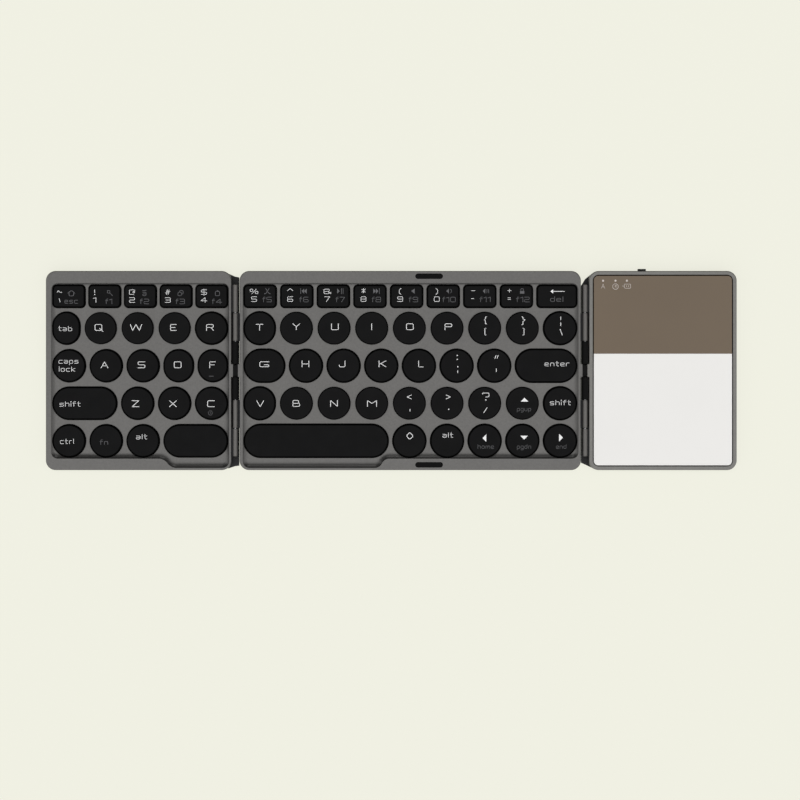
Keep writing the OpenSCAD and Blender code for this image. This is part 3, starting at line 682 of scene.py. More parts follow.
def carried(bm, face, shift, started):
    """Carries the nib on; the first time, the face it starts from stays as the stroke's end."""
    if started:
        face = bmesh.ops.extrude_discrete_faces(bm, faces=[face])["faces"][0]
    else:
        face = face_among(bmesh.ops.extrude_face_region(bm, geom=[face])["geom"])
    bmesh.ops.translate(bm, vec=(*shift, 0), verts=face.verts)
    return face


def draw_stroke(bm, points, width, corner, reach):
    """Sweeps an upright nib along straight lines and round the corners between them."""
    if points[0] == points[-1]:
        reach = -0.001
    headings = [(b - a).normalized() for a, b in zip(points, points[1:])]
    at = points[0] - headings[0] * reach
    face = nib(bm, at, headings[0], width)
    started = False
    for n, heading in enumerate(headings[:-1]):
        end, following = points[n + 1], points[n + 2]
        turn = heading.angle_signed(headings[n + 1])
        half_tangent = abs(math.tan(turn / 2))
        room = ARC_SHARE * min((end - points[n]).length, (following - end).length)
        bend = corner if WIDE_TURNS[0] < abs(turn) < WIDE_TURNS[1] else SHARP
        radius = min(bend, room / max(half_tangent, STRAIGHT))
        stop = end - heading * radius * half_tangent
        face = carried(bm, face, stop - at, started)
        started = True
        at = stop
        if half_tangent > STRAIGHT:
            side = Vector((heading.y, -heading.x)) * (1 if turn > 0 else -1)
            made = bmesh.ops.spin(bm, geom=[face], cent=(*(stop + side * radius), 0), axis=(0, 0, 1),
                                  dvec=(0, 0, 0), angle=-turn, steps=max(2, round(abs(turn) / ARC_STEP)))
            bmesh.ops.delete(bm, geom=[face], context="FACES_ONLY")
            face = face_among(made["geom_last"])
            at = end + headings[n + 1] * radius * half_tangent
    carried(bm, face, points[-1] + headings[-1] * reach - at, started)


def glyph_shape(name, line):
    """A glyph as solids one unit high, kept for the next use, and its width."""
    if (name, line) not in glyph_shapes:
        strokes = []
        width = 0
        for stroke in GLYPHS[name].split(","):
            filled = stroke.startswith("*")
            points = [grid_point(text) for text in stroke.lstrip("*").split()]
            width = max([width] + [point.x for point in points])
            if filled:
                bm = flat_shape(points, 0)
                first_raise(bm, 1)
            elif len(points) == 1:
                bm = block(around(points[0].x, DOT_SIZE / 2), around(points[0].y, DOT_SIZE / 2), (0, 1))
            else:
                bm = bmesh.new()
                draw_stroke(bm, points, line, CORNER, line / 2)
            strokes.append(bm)
        whole = joined(strokes)
        bmesh.ops.remove_doubles(whole, verts=whole.verts, dist=0.0001)
        glyph_shapes[name, line] = (whole, width)
    return glyph_shapes[name, line]


def write(bm, mark, x, y, top, height):
    """Sets a row of glyphs, centred on a place, into a surface at the height top."""
    line = SECOND_STROKE if mark.second else WORD_STROKE if len(mark.glyphs) > 1 else STROKE
    shapes = [glyph_shape(name, line) for name in mark.glyphs]
    length = sum(width for _, width in shapes) + GLYPH_SPACE * (len(shapes) - 1)
    cursor = x + mark.x - length * mark.wide / 2
    tall = any(name in HIGH_GLYPHS or len(name) > 1 for name in mark.glyphs)
    middle = HIGH_MIDDLE if tall else LOW_MIDDLE
    for shape, width in shapes:
        stamp(bm, shape, (cursor, y + mark.y - middle * mark.high, top - SUNK),
              (mark.wide, mark.high, SUNK + height))
        cursor += (width + GLYPH_SPACE) * mark.wide


def letter(text, x, y):
    return [Mark([text], x + side_shift(text), y, 0.56, 0.49, False)]


def word(text, x=0.0, y=0.0, second=False, wide=0.425, high=0.38):
    return Mark(list(text), x, y, wide, high, second)


def stacked(upper, lower, fall=1.8):
    return [Mark([text], 0.3 + side_shift(text), y, 0.53, 0.48, False)
            for text, y in ((upper, 3.3), (lower, -fall))]


def number_marks(symbol, digit, sign, label, places):
    size = (0.56, 0.46) if sign == "house" else (0.42, 0.42)
    return [Mark([symbol], places.white + side_shift(symbol), places.upper, 0.43, 0.38, False),
            Mark([digit], places.white + side_shift(digit), places.lower, 0.42, 0.39, False),
            Mark([sign], places.second + side_shift(sign), places.sign, *size, True),
            word(label, places.second + side_shift(label), places.label, True, 0.39, 0.39)]


def arrow_marks(sign, label, x, y, wide=0.3):
    return [Mark([sign], x, y, 0.62, 0.62, False),
            word(label, 0.5 + side_shift(label), -3.0, True, wide, 0.32)]


NumberPlaces = namedtuple("NumberPlaces", "white second upper lower sign label")
LEFT_NUMBERS = NumberPlaces(-4.0, 2.1, 1.75, -1.9, 1.5, -2.6)
CENTRE_NUMBERS = NumberPlaces(-3.2, 3.1, 2.1, -1.45, 2.5, -1.65)
LEFT_SHIFT = -0.7
# Letters and signs that stand to one side of their place
SIDE_SHIFTS = {
    "C": 0.5, "D": 0.3, "E": 0.2, "F": 0.6, "H": -0.2, "J": -0.7, "K": 0.6, "L": 0.95, "M": 0.15, "O": 0.25,
    "P": 0.65, "U": 0.45, "V": 0.3, "Z": -0.25, "!": -0.8, "1": -0.8, "~": -0.5, "`": -0.45, "$": 0.25,
    "4": 0.2, "%": 0.25, "5": 0.25, "&": 0.3, "7": 0.2, "*": -0.2, "-": -0.4, "+": -0.3, "=": -0.4,
    ";": 0.25, '"': 0.8, "'": 0.4, "<": -0.4, ">": 0.3, ".": 0.5, "?": 0.2, "\\": 0.2, "}": 0.2, "]": 0.2,
    "house": -0.8, "glass": 0.4, "copy": 0.2, "board": 0.8, "shears": 0.5, "back": 0.35, "play": 0.25,
    "low": -0.35, "loud": -0.25, "lock": -0.35, "esc": -0.9, "f4": 0.5, "f5": 0.35, "f6": 0.4, "f7": 0.3,
    "f9": 0.2, "f10": -0.3, "f11": -0.55, "_": -0.3, "pgup": 0.25, "pgdn": 0.25,
}


def side_shift(text):
    return SIDE_SHIFTS.get(text, 0)


SIGNS = ["house", "glass", "select", "copy", "board", "shears", "back", "play", "next", "quiet",
         "low", "loud", "lock"]
# Rows of letters and how far each stands behind the middle of its keys
LEFT_ROWS = (("QWER", 0.3), ("ASDF", 0.42), ("ZXC", -0.22))


def legends():
    """For each node, the marks of each of its keys."""
    labels = ["esc"] + ["f%d" % n for n in range(1, 13)]
    numbers = [number_marks(symbol, digit, sign, label, LEFT_NUMBERS if n < 5 else CENTRE_NUMBERS)
               for n, (symbol, digit, sign, label)
               in enumerate(zip("~!@#$%^&*()_+", "`1234567890-=", SIGNS, labels))]
    left = {text: letter(text, LEFT_SHIFT, y) for row, y in LEFT_ROWS for text in row}
    left["C"].append(Mark(["link"], LEFT_SHIFT + 0.2, -4.6, 0.28, 0.3, True))
    left["F"].append(Mark(["bar"], LEFT_SHIFT, -4.0, 0.5, 0.4, True))
    centre = [letter("T", 0, 0.4)] + [letter(text, 0, 0.65) for text in "YUIOP"]
    centre += [stacked("{", "["), stacked("}", "]"), stacked("|", "\\")]
    centre += [letter("G", 0, 0.45)] + [letter(text, 0, 0.87) for text in "HJKL"]
    centre += [stacked(":", ";"), stacked('"', "'")]
    centre += [letter("V", 0, -0.25)] + [letter(text, 0, -0.07) for text in "BNM"]
    centre += [stacked("<", ","), stacked(">", "."), stacked("?", "/", fall=2.5)]
    return {
        "left_number_keys": numbers[:5],
        "centre_number_keys": numbers[5:],
        "left_letter_keys": [left[text] for row, _ in LEFT_ROWS for text in row],
        "centre_letter_keys": centre,
        "tab_key": [[word("tab", -0.5, -0.45)]],
        "caps_lock_key": [[word("caps", -0.2, 2.05), word("lock", -0.9, -1.9)]],
        "left_shift_key": [[word("shift", -7.2, -0.6, wide=0.45)]],
        "ctrl_key": [[word("ctrl", -1.0, -0.45, wide=0.4)]],
        "fn_key": [[word("fn", -1.0, -0.9, True)]],
        "left_alt_key": [[word("alt", -0.6, 1.8, wide=0.46)]],
        "delete_key": [[Mark(["rub_out"], 0.2, 2.35, 0.68, 0.5, False),
                        word("del", -0.1, -1.7, True, 0.5, 0.38)]],
        "enter_key": [[word("enter", 5.3, 0.75, wide=0.45)]],
        "up_key": [arrow_marks("up", "pgup", 1.0, 2.7)],
        "down_key": [arrow_marks("down", "pgdn", 0.8, 2.5)],
        "left_key": [arrow_marks("left", "home", -0.2, 2.0, 0.32)],
        "right_key": [arrow_marks("right", "end", 0.4, 2.2)],
        "right_shift_key": [[word("shift", 0.1, 0.1, wide=0.45)]],
        "meta_key": [[Mark(["diamond"], 0.2, 2.4, 0.58, 0.58, False)]],
        "right_alt_key": [[word("alt", 0.4, 2.6, wide=0.44)]],
        "left_space_key": [],
        "space_key": [],
    }


# ---------- finishes ----------

class Wire:
    """An output of a shader node that can stand in a sum; | gives the larger of two masks."""

    def __init__(self, finish, socket):
        self.finish = finish
        self.socket = socket

    def maths(self, operation, *values):
        return self.finish.node("ShaderNodeMath", {"operation": operation}, dict(enumerate(values)))

    def __add__(self, other):
        return self.maths("ADD", self, other)

    def __radd__(self, other):
        return self.maths("ADD", other, self)

    def __sub__(self, other):
        return self.maths("SUBTRACT", self, other)

    def __rsub__(self, other):
        return self.maths("SUBTRACT", other, self)

    def __mul__(self, other):
        return self.maths("MULTIPLY", self, other)

    def __rmul__(self, other):
        return self.maths("MULTIPLY", other, self)

    def __gt__(self, other):
        return self.maths("GREATER_THAN", self, other)

    def __lt__(self, other):
        return self.maths("LESS_THAN", self, other)

    def __or__(self, other):
        return self.maths("MAXIMUM", self, other)

    __ror__ = __or__


class Finish:
    """A node material, built from the object's own coordinates."""

    def __init__(self, name):
        self.material = bpy.data.materials.new(name)
        self.material.use_nodes = True
        self.tree = self.material.node_tree
        self.tree.nodes.clear()

    def node(self, kind, options=None, inputs=None, output=0):
        """Adds a node: its options first, then the values or wires of its inputs."""
        made = self.tree.nodes.new(kind)
        for name, value in (options or {}).items():
            if name == "stops":
                for stop, (place, colour) in zip(made.color_ramp.elements, value):
                    stop.position = place
                    stop.color = (*colour, 1)
            elif name == "interpolation":
                made.color_ramp.interpolation = value
            else:
                setattr(made, name, value)
        for name, value in (inputs or {}).items():
            if isinstance(value, Wire):
                self.tree.links.new(value.socket, made.inputs[name])
            else:
                made.inputs[name].default_value = value
        return Wire(self, made.outputs[output]) if made.outputs else None

    def place(self):
        return self.node("ShaderNodeTexCoord", output="Object")

    def part(self, vector, axis):
        return self.node("ShaderNodeSeparateXYZ", None, {"Vector": vector}, axis)

    def noise(self, grain, detail=2.0, place=None):
        """Noise whose spots are about grain millimetres across."""
        return self.node("ShaderNodeTexNoise", {"noise_dimensions": "3D"},
                         {"Vector": place or self.place(), "Scale": 1 / (grain * MM), "Detail": detail})

    def mix(self, factor, first, second):
        colours = {6: first if isinstance(first, Wire) else (*first, 1),
                   7: second if isinstance(second, Wire) else (*second, 1)}
        return self.node("ShaderNodeMix", {"data_type": "RGBA"}, {0: factor, **colours}, 2)

    def waver(self, factor, colour, low, high):
        """The colour, between two shades of it."""
        return self.mix(factor, shade(colour, low), shade(colour, high))

    def bump(self, height, depth):
        return self.node("ShaderNodeBump", None, {"Height": height, "Distance": depth * MM, "Strength": 1.0})

    def surface(self, **inputs):
        """Ends the material in a shader; sockets are named with low lines for spaces."""
        named = {name.replace("_", " "): value for name, value in inputs.items()}
        self.node("ShaderNodeOutputMaterial", None,
                  {"Surface": self.node("ShaderNodeBsdfPrincipled", None, named)})
        return self.material


def shade(colour, factor):
    return tuple(min(1.0, part * factor) for part in colour)


def grained(name, colour, roughness, grain=0.2, depth=0.008, mottle=0.06, patch=9.0, **sockets):
    """A surface with fine grain, soft patches of tone and uneven gloss."""
    finish = Finish(name)
    fine = finish.noise(grain, 3)
    broad = finish.noise(patch, 4)
    tone = finish.waver(broad, colour, 1 - mottle, 1 + mottle)
    gloss = roughness + (fine - 0.5) * 0.12 + (broad - 0.5) * 0.08
    return finish.surface(Base_Color=tone, Roughness=gloss, Normal=finish.bump(fine, depth), **sockets)


def anodised(name, colour):
    """Bead-blasted anodised metal: a pebbly grain, and tone that drifts over the panel."""
    finish = Finish(name)
    place = finish.place()
    pebbles = finish.node("ShaderNodeTexVoronoi", {"feature": "SMOOTH_F1"},
                          {"Vector": place, "Scale": 1 / (0.16 * MM)})
    fine = finish.noise(0.09, 2, place)
    drift = finish.noise(22, 3, place)
    speck = finish.noise(0.8, 4, place)
    tone = finish.waver(drift * 0.25 + speck * 0.75, colour, 0.7, 1.3)
    gloss = 0.38 + (speck - 0.5) * 0.12
    return finish.surface(Base_Color=tone, Roughness=gloss, Metallic=0.9,
                          Normal=finish.bump(pebbles * 0.6 + fine * 0.4, 0.004))


def keycap_finish(name, colour, shoulder):
    """Fine-textured moulding, a little smoother where fingers rub, with painted shade: darker below the
    shoulder height.
    """
    finish = Finish(name)
    place = finish.place()
    texture = finish.noise(0.11, 2, place)
    rubbed = finish.noise(7, 3, place)
    top_tone = finish.waver(rubbed, colour, 0.85, 1.2)
    # painted shade: below the shoulder the cap's sides take 0.15 of the top's colour
    tone = finish.mix(finish.part(place, "Z") > shoulder * MM, shade(colour, 0.15), top_tone)
    gloss = 0.46 - (rubbed - 0.5) * 0.16 + (texture - 0.5) * 0.08
    return finish.surface(Base_Color=tone, Roughness=gloss, Normal=finish.bump(texture, 0.004),
                          Specular_IOR_Level=0.025)


def legend_finish(name, colour):
    """Printed ink, slightly uneven."""
    finish = Finish(name)
    ink = finish.noise(0.35, 3)
    tone = finish.waver(ink, colour, 0.9, 1.06)
    return finish.surface(Base_Color=tone, Roughness=0.55 + (ink - 0.5) * 0.2,
                          Normal=finish.bump(ink, 0.003))


def brushed(name, colour, roughness, along="Y"):
    """Turned or rolled metal with fine lines along one axis."""
    finish = Finish(name)
    stretch = {"X": (1, 40, 40), "Y": (40, 1, 40)}[along]
    lines_at = finish.node("ShaderNodeMapping", None,
                           {"Vector": finish.place(), "Scale": stretch})
    lines = finish.node("ShaderNodeTexNoise", {"noise_dimensions": "3D"},
                        {"Vector": lines_at, "Scale": 1 / (3.0 * MM), "Detail": 3.0})
    tone = finish.waver(lines, colour, 0.88, 1.12)
    return finish.surface(Base_Color=tone, Roughness=roughness + (lines - 0.5) * 0.16, Metallic=0.9,
                          Normal=finish.bump(lines, 0.003))


def touch_finish(name, upper, lower, division):
    """A glossy plate in two fields, with a fine dust of uneven gloss."""
    finish = Finish(name)
    place = finish.place()
    behind = finish.part(place, "Y") > division
    haze = finish.noise(30, 3, place)
    dark = finish.waver(haze, upper, 0.93, 1.07)
    pale = finish.waver(haze, lower, 0.985, 1.015)
    fine = finish.noise(0.4, 2, place)
    return finish.surface(Base_Color=finish.mix(behind, pale, dark), Roughness=0.16 + (fine - 0.5) * 0.06,
                          Normal=finish.bump(fine, 0.0006), Specular_IOR_Level=0.3, Coat_Weight=0.1,
                          Coat_Roughness=0.06)


def board_finish(name):
    """Solder resist over traces, with gold pads."""
    finish = Finish(name)
    place = finish.place()
    traces = finish.node("ShaderNodeTexBrick", {"offset": 0.35, "squash": 1.6, "squash_frequency": 3},
                         {"Vector": place, "Scale": 1 / (9 * MM), "Mortar Size": 0.03, "Mortar Smooth": 0.1,
                          "Brick Width": 0.6, "Row Height": 0.16}, "Fac")
    cells = finish.node("ShaderNodeTexVoronoi", {"feature": "F1"}, {"Vector": place, "Scale": 1 / (2.2 * MM)})
    pads = 0.16 - cells > 0
    resist = finish.mix(traces, (0.008, 0.055, 0.024), (0.016, 0.10, 0.045))
    return finish.surface(Base_Color=finish.mix(pads, resist, (0.72, 0.50, 0.16)), Metallic=pads * 0.9,
                          Roughness=0.38 - pads * 0.1, Normal=finish.bump(traces * 0.5 + pads * 0.5, 0.03))


def membrane_finish(name):
    """Translucent film over silver tracks."""
    finish = Finish(name)
    place = finish.place()
    tracks = finish.node("ShaderNodeTexWave", {"wave_type": "BANDS", "bands_direction": "DIAGONAL"},
                         {"Vector": place, "Scale": 1 / (14 * MM), "Distortion": 1.5, "Detail": 1.0}, "Fac")
    track = tracks > 0.82
    tone = finish.mix(track, (0.20, 0.36, 0.30), (0.55, 0.56, 0.55))
    return finish.surface(Base_Color=tone, Roughness=0.34 + track * 0.1, Metallic=track * 0.6,
                          Normal=finish.bump(track, 0.02), Coat_Weight=0.4, Coat_Roughness=0.2)


def foil_finish(name):
    """Crinkled foil wrap of a battery."""
    finish = Finish(name)
    place = finish.place()
    creases = finish.node("ShaderNodeTexVoronoi", {"feature": "DISTANCE_TO_EDGE"},
                          {"Vector": place, "Scale": 1 / (5 * MM)})
    fine = finish.noise(1.1, 4, place)
    tone = finish.mix(fine, (0.55, 0.56, 0.58), (0.70, 0.71, 0.73))
    return finish.surface(Base_Color=tone, Roughness=0.3 + (fine - 0.5) * 0.2, Metallic=0.85,
                          Normal=finish.bump(creases * 0.6 + fine * 0.4, 0.06))


# ---------- frames and covers ----------

def bend_corners(bend, low, high):
    """Corners of the recess's step between two front edges, and the radius that joins them smoothly."""
    across = bend[1] - bend[0]
    reach = (across ** 2 + (high - low) ** 2) / (4 * across)
    return [(bend[0] + reach, low), (bend[1] - reach, high)], reach


def recess_outline(panel, z, grow=0.0):
    """Outline of a panel's key recess, grown all round."""
    front = -REAR
    if panel == "left":
        (x0, x1), rims, bend = LEFT_X, LEFT_SIDE_RIMS, LEFT_BEND
        low, high = front + FRONT_RIM - grow, front + THIN_RIM - grow
    else:
        (x0, x1), rims, bend = CENTRE_X, CENTRE_SIDE_RIMS, CENTRE_BEND
        low, high = front + THIN_RIM - grow, front + FRONT_RIM - grow
    rear = REAR - REAR_RIM + grow
    left, right = x0 + rims[0] - grow, x1 - rims[1] + grow
    steps, reach = bend_corners(bend, low, high)
    outer = [(left, low), (right, high), (right, rear), (left, rear)]
    bm = flat_shape([outer[0]] + steps + outer[1:], z)
    round_corners(bm, outer, RECESS_CORNER + grow, 8)
    round_corners(bm, steps, reach * ROUND, 8)
    return bm


def recess_cutter(panel):
    """Recess from above: a small chamfer at the rim, then a hollow slope that flattens into the deck."""
    case = settings("case")
    lip, width = case.cove_lip / MM, case.cove / MM
    depth = RECESS_DEPTH - lip
    radius = (width ** 2 + depth ** 2) / (2 * depth)
    steepest = math.asin(width / radius)
    bm = recess_outline(panel, RIM_TOP + 1, lip)
    _, face = first_raise(bm, -1)
    face = draw_in(bm, face, lip, -lip)
    steps = 9
    for n in range(steps):
        start = steepest * (1 - n / steps)
        end = steepest * (1 - (n + 1) / steps)
        inset = radius * (math.sin(start) - math.sin(end))
        draw_in(bm, face, inset, radius * (math.cos(start) - math.cos(end)))
    return bm


def hole_cutter(key):
    """A key's hole from above, with a fine chamfer at the deck."""
    bm = key_outline(key, RIM_TOP + 1, FINE_CHAMFER)
    _, face = first_raise(bm, DECK_TOP - RIM_TOP - 1)
    face = draw_in(bm, face, FINE_CHAMFER, -FINE_CHAMFER)
    raise_face(bm, face, DECK_BOTTOM - 0.3 - DECK_TOP + FINE_CHAMFER)
    return bm


def straight_cutter(outline, depth):
    first_raise(outline, depth)
    return outline


def frame_slab(x_range):
    edge = settings("case").rim_edge / MM
    return slab((x_range[0], -REAR), (x_range[1], REAR), SEAM, RIM_TOP, PANEL_CORNER, edge)


def nub_block(edge, direction):
    return block((edge - direction * NUB_ROOT, edge + direction * NUB), (-NECK, NECK),
                 (SEAM + NUB_RISE, RIM_TOP), FINE_CHAMFER)


def both_ends(station):
    """A stretch along Y and its mirror image towards the front."""
    return station, (-station[1], -station[0])


def leaf_pockets(edge, direction, station):
    """Slots in a panel's edge for the hinge leaves."""
    return [block((edge - direction * LEAF, edge + direction), ys, (SEAM - 1, LEAF_TOP))
            for ys in both_ends(station)]


def ribbon_strip(axis_x, points, thickness, half, corner):
    """A flat strip that follows points in the XZ plane, as wide along Y as twice half."""
    bm = bmesh.new()
    draw_stroke(bm, [Vector(point) for point in points], thickness, corner, 0)
    bmesh.ops.scale(bm, vec=(1, 1, 2 * half), verts=bm.verts)
    bmesh.ops.translate(bm, vec=(0, 0, -half), verts=bm.verts)
    return laid_back(bm, (axis_x, 0, 0))


def ribbon_space(axis_x):
    """The room that a ribbon cable takes in the walls and nubs beside the hinge gap."""
    points = [(-HINGE_GAP, RIBBON_RUN), (-RIBBON_LEG, RIBBON_RUN), (-RIBBON_LEG, RIBBON_BRIDGE),
              (RIBBON_LEG, RIBBON_BRIDGE), (RIBBON_LEG, RIBBON_RUN), (HINGE_GAP, RIBBON_RUN)]
    return ribbon_strip(axis_x, points, RIBBON + 2 * RIBBON_CLEARANCE, RIBBON_HALF + RIBBON_CLEARANCE,
                        RIBBON_BEND)


def key_frame(panel, x_range, nodes):
    """A frame with its cavity, its key recess and the holes for the keys of some nodes."""
    cavity = straight_cutter(recess_outline(panel, SEAM - 1, CAVITY_GROW), DECK_BOTTOM - SEAM + 1)
    bm = carve(frame_slab(x_range), [cavity])
    bm = carve(bm, [recess_cutter(panel)])
    return carve(bm, [hole_cutter(key) for node in nodes for key in keys_of(node)])


def rest_pad_outline(y, z, grow=0.0):
    half = PAD_SIZE / 2 + Vector((grow, grow))
    middle = Vector((PAD_X, y))
    return round_rectangle(middle - half, middle + half, z, half.y * ROUND, 8)


class FrameOperator(bpy.types.Operator):
    """Builds the three frames"""
    bl_idname = "keyboard.frames"
    bl_label = "Frames"

    def execute(self, context):
        case = settings("case")
        metal = anodised("frame_metal", case.frame_colour)
        # painted light: the right frame's metal is a lighter copy of the frame metal, standing in for
        # brighter light there
        lit_frame_metal = anodised("touch_frame_lit_metal", case.touch_frame_lit_colour)
        left = key_frame("left", LEFT_X, LEFT_KEYS)
        left = united(left, [nub_block(LEFT_X[1], 1)])
        left = carve(left, [ribbon_space(LEFT_AXIS)] + leaf_pockets(LEFT_X[1], 1, OUTER_KNUCKLE))
        piece(left, "left_frame", "left_panel", metal, "frame", ["left_top_frame"])

        centre = key_frame("centre", CENTRE_X, CENTRE_KEYS)
        centre = united(centre, [nub_block(CENTRE_X[0], -1), nub_block(CENTRE_X[1], 1)])
        cutters = [straight_cutter(rest_pad_outline(y, PAD_BOTTOM, PAD_CLEARANCE), 2)
                   for y in (-PAD_Y, PAD_Y)]
        cutters += [ribbon_space(LEFT_AXIS), ribbon_space(RIGHT_AXIS)]
        cutters += leaf_pockets(CENTRE_X[0], -1, INNER_KNUCKLE)
        cutters += leaf_pockets(CENTRE_X[1], 1, INNER_KNUCKLE)
        centre = carve(centre, cutters)
        piece(centre, "centre_frame", "centre_panel", metal, "frame", ["centre_top_frame"])

        piece(right_frame(), "right_frame", "right_panel", lit_frame_metal, "frame", ["right_top_frame"])
        return {"FINISHED"}


def right_outline(inset, z, radius=None):
    return round_rectangle((RIGHT_X[0] + inset, inset - REAR), (RIGHT_X[1] - inset, REAR - inset), z,
                           max(PANEL_CORNER - inset, 0.8) if radius is None else radius)


def port_shape(grow, depth_range, radius):
    """A rounded block along Y, for the charging port and its opening."""
    low = (PORT[0].x - grow, PORT[0].z - grow)
    high = (PORT[1].x + grow, PORT[1].z + grow)
    bm = round_rectangle(low, high, 0, radius, 6)
    first_raise(bm, depth_range[1] - depth_range[0])
    return laid_back(bm, (0, depth_range[1], 0))


def right_frame():
    """Frame of the touch panel, with the openings of its port and power switch."""
    board_bottom = box_mm("touchpad_board")[0].z
    bm = frame_slab(RIGHT_X)
    bm = carve(bm, [straight_cutter(right_outline(TOUCH_CAVITY, SEAM - 1), board_bottom - SEAM + 1)])
    bm = carve(bm, [straight_cutter(right_outline(TOUCH_RIM + TOUCH_LEDGE, SEAM - 1), RIM_TOP)])
    well = right_outline(TOUCH_RIM - FINE_CHAMFER, RIM_TOP + 1, PANEL_CORNER - TOUCH_RIM + FINE_CHAMFER)
    _, face = first_raise(well, -1)
    face = draw_in(well, face, FINE_CHAMFER, -FINE_CHAMFER)
    raise_face(well, face, TOUCH_BOTTOM - RIM_TOP + FINE_CHAMFER)
    bm = carve(bm, [well])
    bm = united(bm, [nub_block(RIGHT_X[0], -1)])
    slot_x = (KNOB[0].x - SWITCH_CLEARANCE, KNOB[0].x + SWITCH_LENGTH + SWITCH_TRAVEL + SWITCH_CLEARANCE)
    slot = block(slot_x, (REAR - 2.5, REAR + 1), SWITCH_SLOT_Z, 0.25)
    opening = port_shape(PORT_OPENING, (REAR - 4.5, REAR + 1), PORT_CORNER + PORT_OPENING)
    return carve(bm, [slot, opening, ribbon_space(RIGHT_AXIS)] + leaf_pockets(RIGHT_X[0], -1, OUTER_KNUCKLE))


def panel_cover(side, x_range, hollow):
    """A bottom cover with a rounded lower edge, its hollow, foot pockets and screw seats."""
    under = settings("case").cover_edge / MM
    bm = slab((x_range[0], -REAR), (x_range[1], REAR), COVER_BOTTOM, SEAM, PANEL_CORNER, 0, under, 4)
    seats = [cylinder(at, SCREW_HEAD + SCREW_CLEARANCE, COVER_BOTTOM - 1, COVER_BOTTOM + SEAT_DEPTH)
             for at in centres_of(side + "_screws")]
    pockets = [cylinder(at, FOOT_RADIUS + FOOT_CLEARANCE, COVER_BOTTOM - 1, COVER_BOTTOM + FOOT_SUNK, 48)
               for at in centres_of(side + "_feet")]
    bm = carve(bm, [straight_cutter(hollow, SEAM)])
    return carve(bm, seats + pockets)


def tongue(edge, direction, front_end, rear_end):
    """Flat tongue that closes the hinge gap from below, short of the panels at either end."""
    across = [edge + direction * reach
              for reach in (-TONGUE_ROOT, HINGE_GAP / 3, HINGE_GAP - TONGUE_CLEARANCE)]
    front = [(x, short - REAR) for x, short in zip(across, front_end)]
    rear = [(x, REAR - short) for x, short in zip(across, rear_end)]
    bm = flat_shape(front + rear[::-1], COVER_BOTTOM)
    _, face = first_raise(bm, TONGUE - TONGUE_EDGE)
    draw_in(bm, face, TONGUE_EDGE, TONGUE_EDGE)
    return bm


class CoverOperator(bpy.types.Operator):
    """Builds the three bottom covers with their tongues"""
    bl_idname = "keyboard.covers"
    bl_label = "Bottom covers"

    def execute(self, context):
        paint = grained("cover_paint", settings("case").cover_colour, 0.5, 0.18, 0.01, 0.05, 14,
                        Specular_IOR_Level=0.25)
        left = panel_cover("left", LEFT_X, recess_outline("left", COVER_FLOOR, CAVITY_GROW))
        left = united(left, [tongue(LEFT_X[1], 1, *LEFT_TONGUE_ENDS)])
        piece(left, "left_cover", "left_panel", paint, "cover", ["left_bottom_cover"])
        centre = panel_cover("centre", CENTRE_X, recess_outline("centre", COVER_FLOOR, CAVITY_GROW))
        piece(centre, "centre_cover", "centre_panel", paint, "cover", ["centre_bottom_cover"])
        right = panel_cover("right", RIGHT_X, right_outline(TOUCH_CAVITY, COVER_FLOOR))
        right = united(right, [tongue(RIGHT_X[0], -1, *RIGHT_TONGUE_ENDS)])
        notch = block(around(RIGHT_X[1], 1), (-NOTCH_HALF, NOTCH_HALF),
                      (COVER_BOTTOM - 1, COVER_BOTTOM + NOTCH_RISE), 0.2)
        piece(carve(right, [notch]), "right_cover", "right_panel", paint, "cover", ["right_bottom_cover"])
        return {"FINISHED"}


class KeyOperator(bpy.types.Operator):
    """Builds the keycaps"""
    bl_idname = "keyboard.caps"
    bl_label = "Keycaps"

    def execute(self, context):
        keys = settings("keys")
        edge = keys.cap_edge / MM
        shoulder = keys_of("space_key")[0].top - edge * SHOULDER
        finish = keycap_finish("cap_moulding", keys.cap_colour, shoulder)
        for node in LEFT_KEYS + CENTRE_KEYS:
            caps = joined([cap(key, edge) for key in keys_of(node)])
            piece(caps, node.replace("_key", "_cap"), node, finish, "keycap", [node])
        return {"FINISHED"}


class LegendOperator(bpy.types.Operator):
    """Prints the legends on the caps"""
    bl_idname = "keyboard.legends"
    bl_label = "Legends"

    def execute(self, context):
        keys = settings("keys")
        inks = {False: legend_finish("main_ink", keys.legend_colour),
                True: legend_finish("second_ink", keys.second_colour)}
        for node, rows in legends().items():
            for second, ink in inks.items():
                bm = bmesh.new()
                for key, marks in zip(keys_of(node), rows):
                    for mark in marks:
                        if mark.second == second:
                            write(bm, mark, (key.x0 + key.x1) / 2, (key.y0 + key.y1) / 2, key.top,
                                  keys.legend_height / MM)
                if bm.faces:
                    name = node.replace("_key", "_second_legend" if second else "_legend")
                    piece(bm, name, node, ink, "keycap")
                else:
                    bm.free()
        return {"FINISHED"}


def barrels(axis_x, station, edge):
    return [tube(axis_x, AXIS_Z, y, BARREL, BORE, edge) for y in both_ends(station)]


def leaves(axis_x, panel_edge, station):
    """The arms and plates that hold two barrels in a panel's edge, cut to fit under the barrels."""
    inward = 1 if panel_edge > axis_x else -1
    plate_in = panel_edge + inward * LEAF
    arm_in = plate_in - inward * ARM_SUNK
    made = []
    for y0, y1 in both_ends(station):
        arm = block((axis_x, arm_in), (y0 + LEAF_CLEARANCE, y1 - LEAF_CLEARANCE),
                    (LEAF_TOP - ARM, LEAF_TOP))
        plate = block((panel_edge, plate_in), (y0, y1), (SEAM, LEAF_TOP), 0.05)
        barrel = cylinder((0, 0), BARREL + LEAF_CLEARANCE, 0, y1 - y0 + 2, 40)
        laid_back(barrel, (axis_x, y1 + 1, AXIS_Z))
        made.append(carve(united(plate, [arm]), [barrel]))
    return made


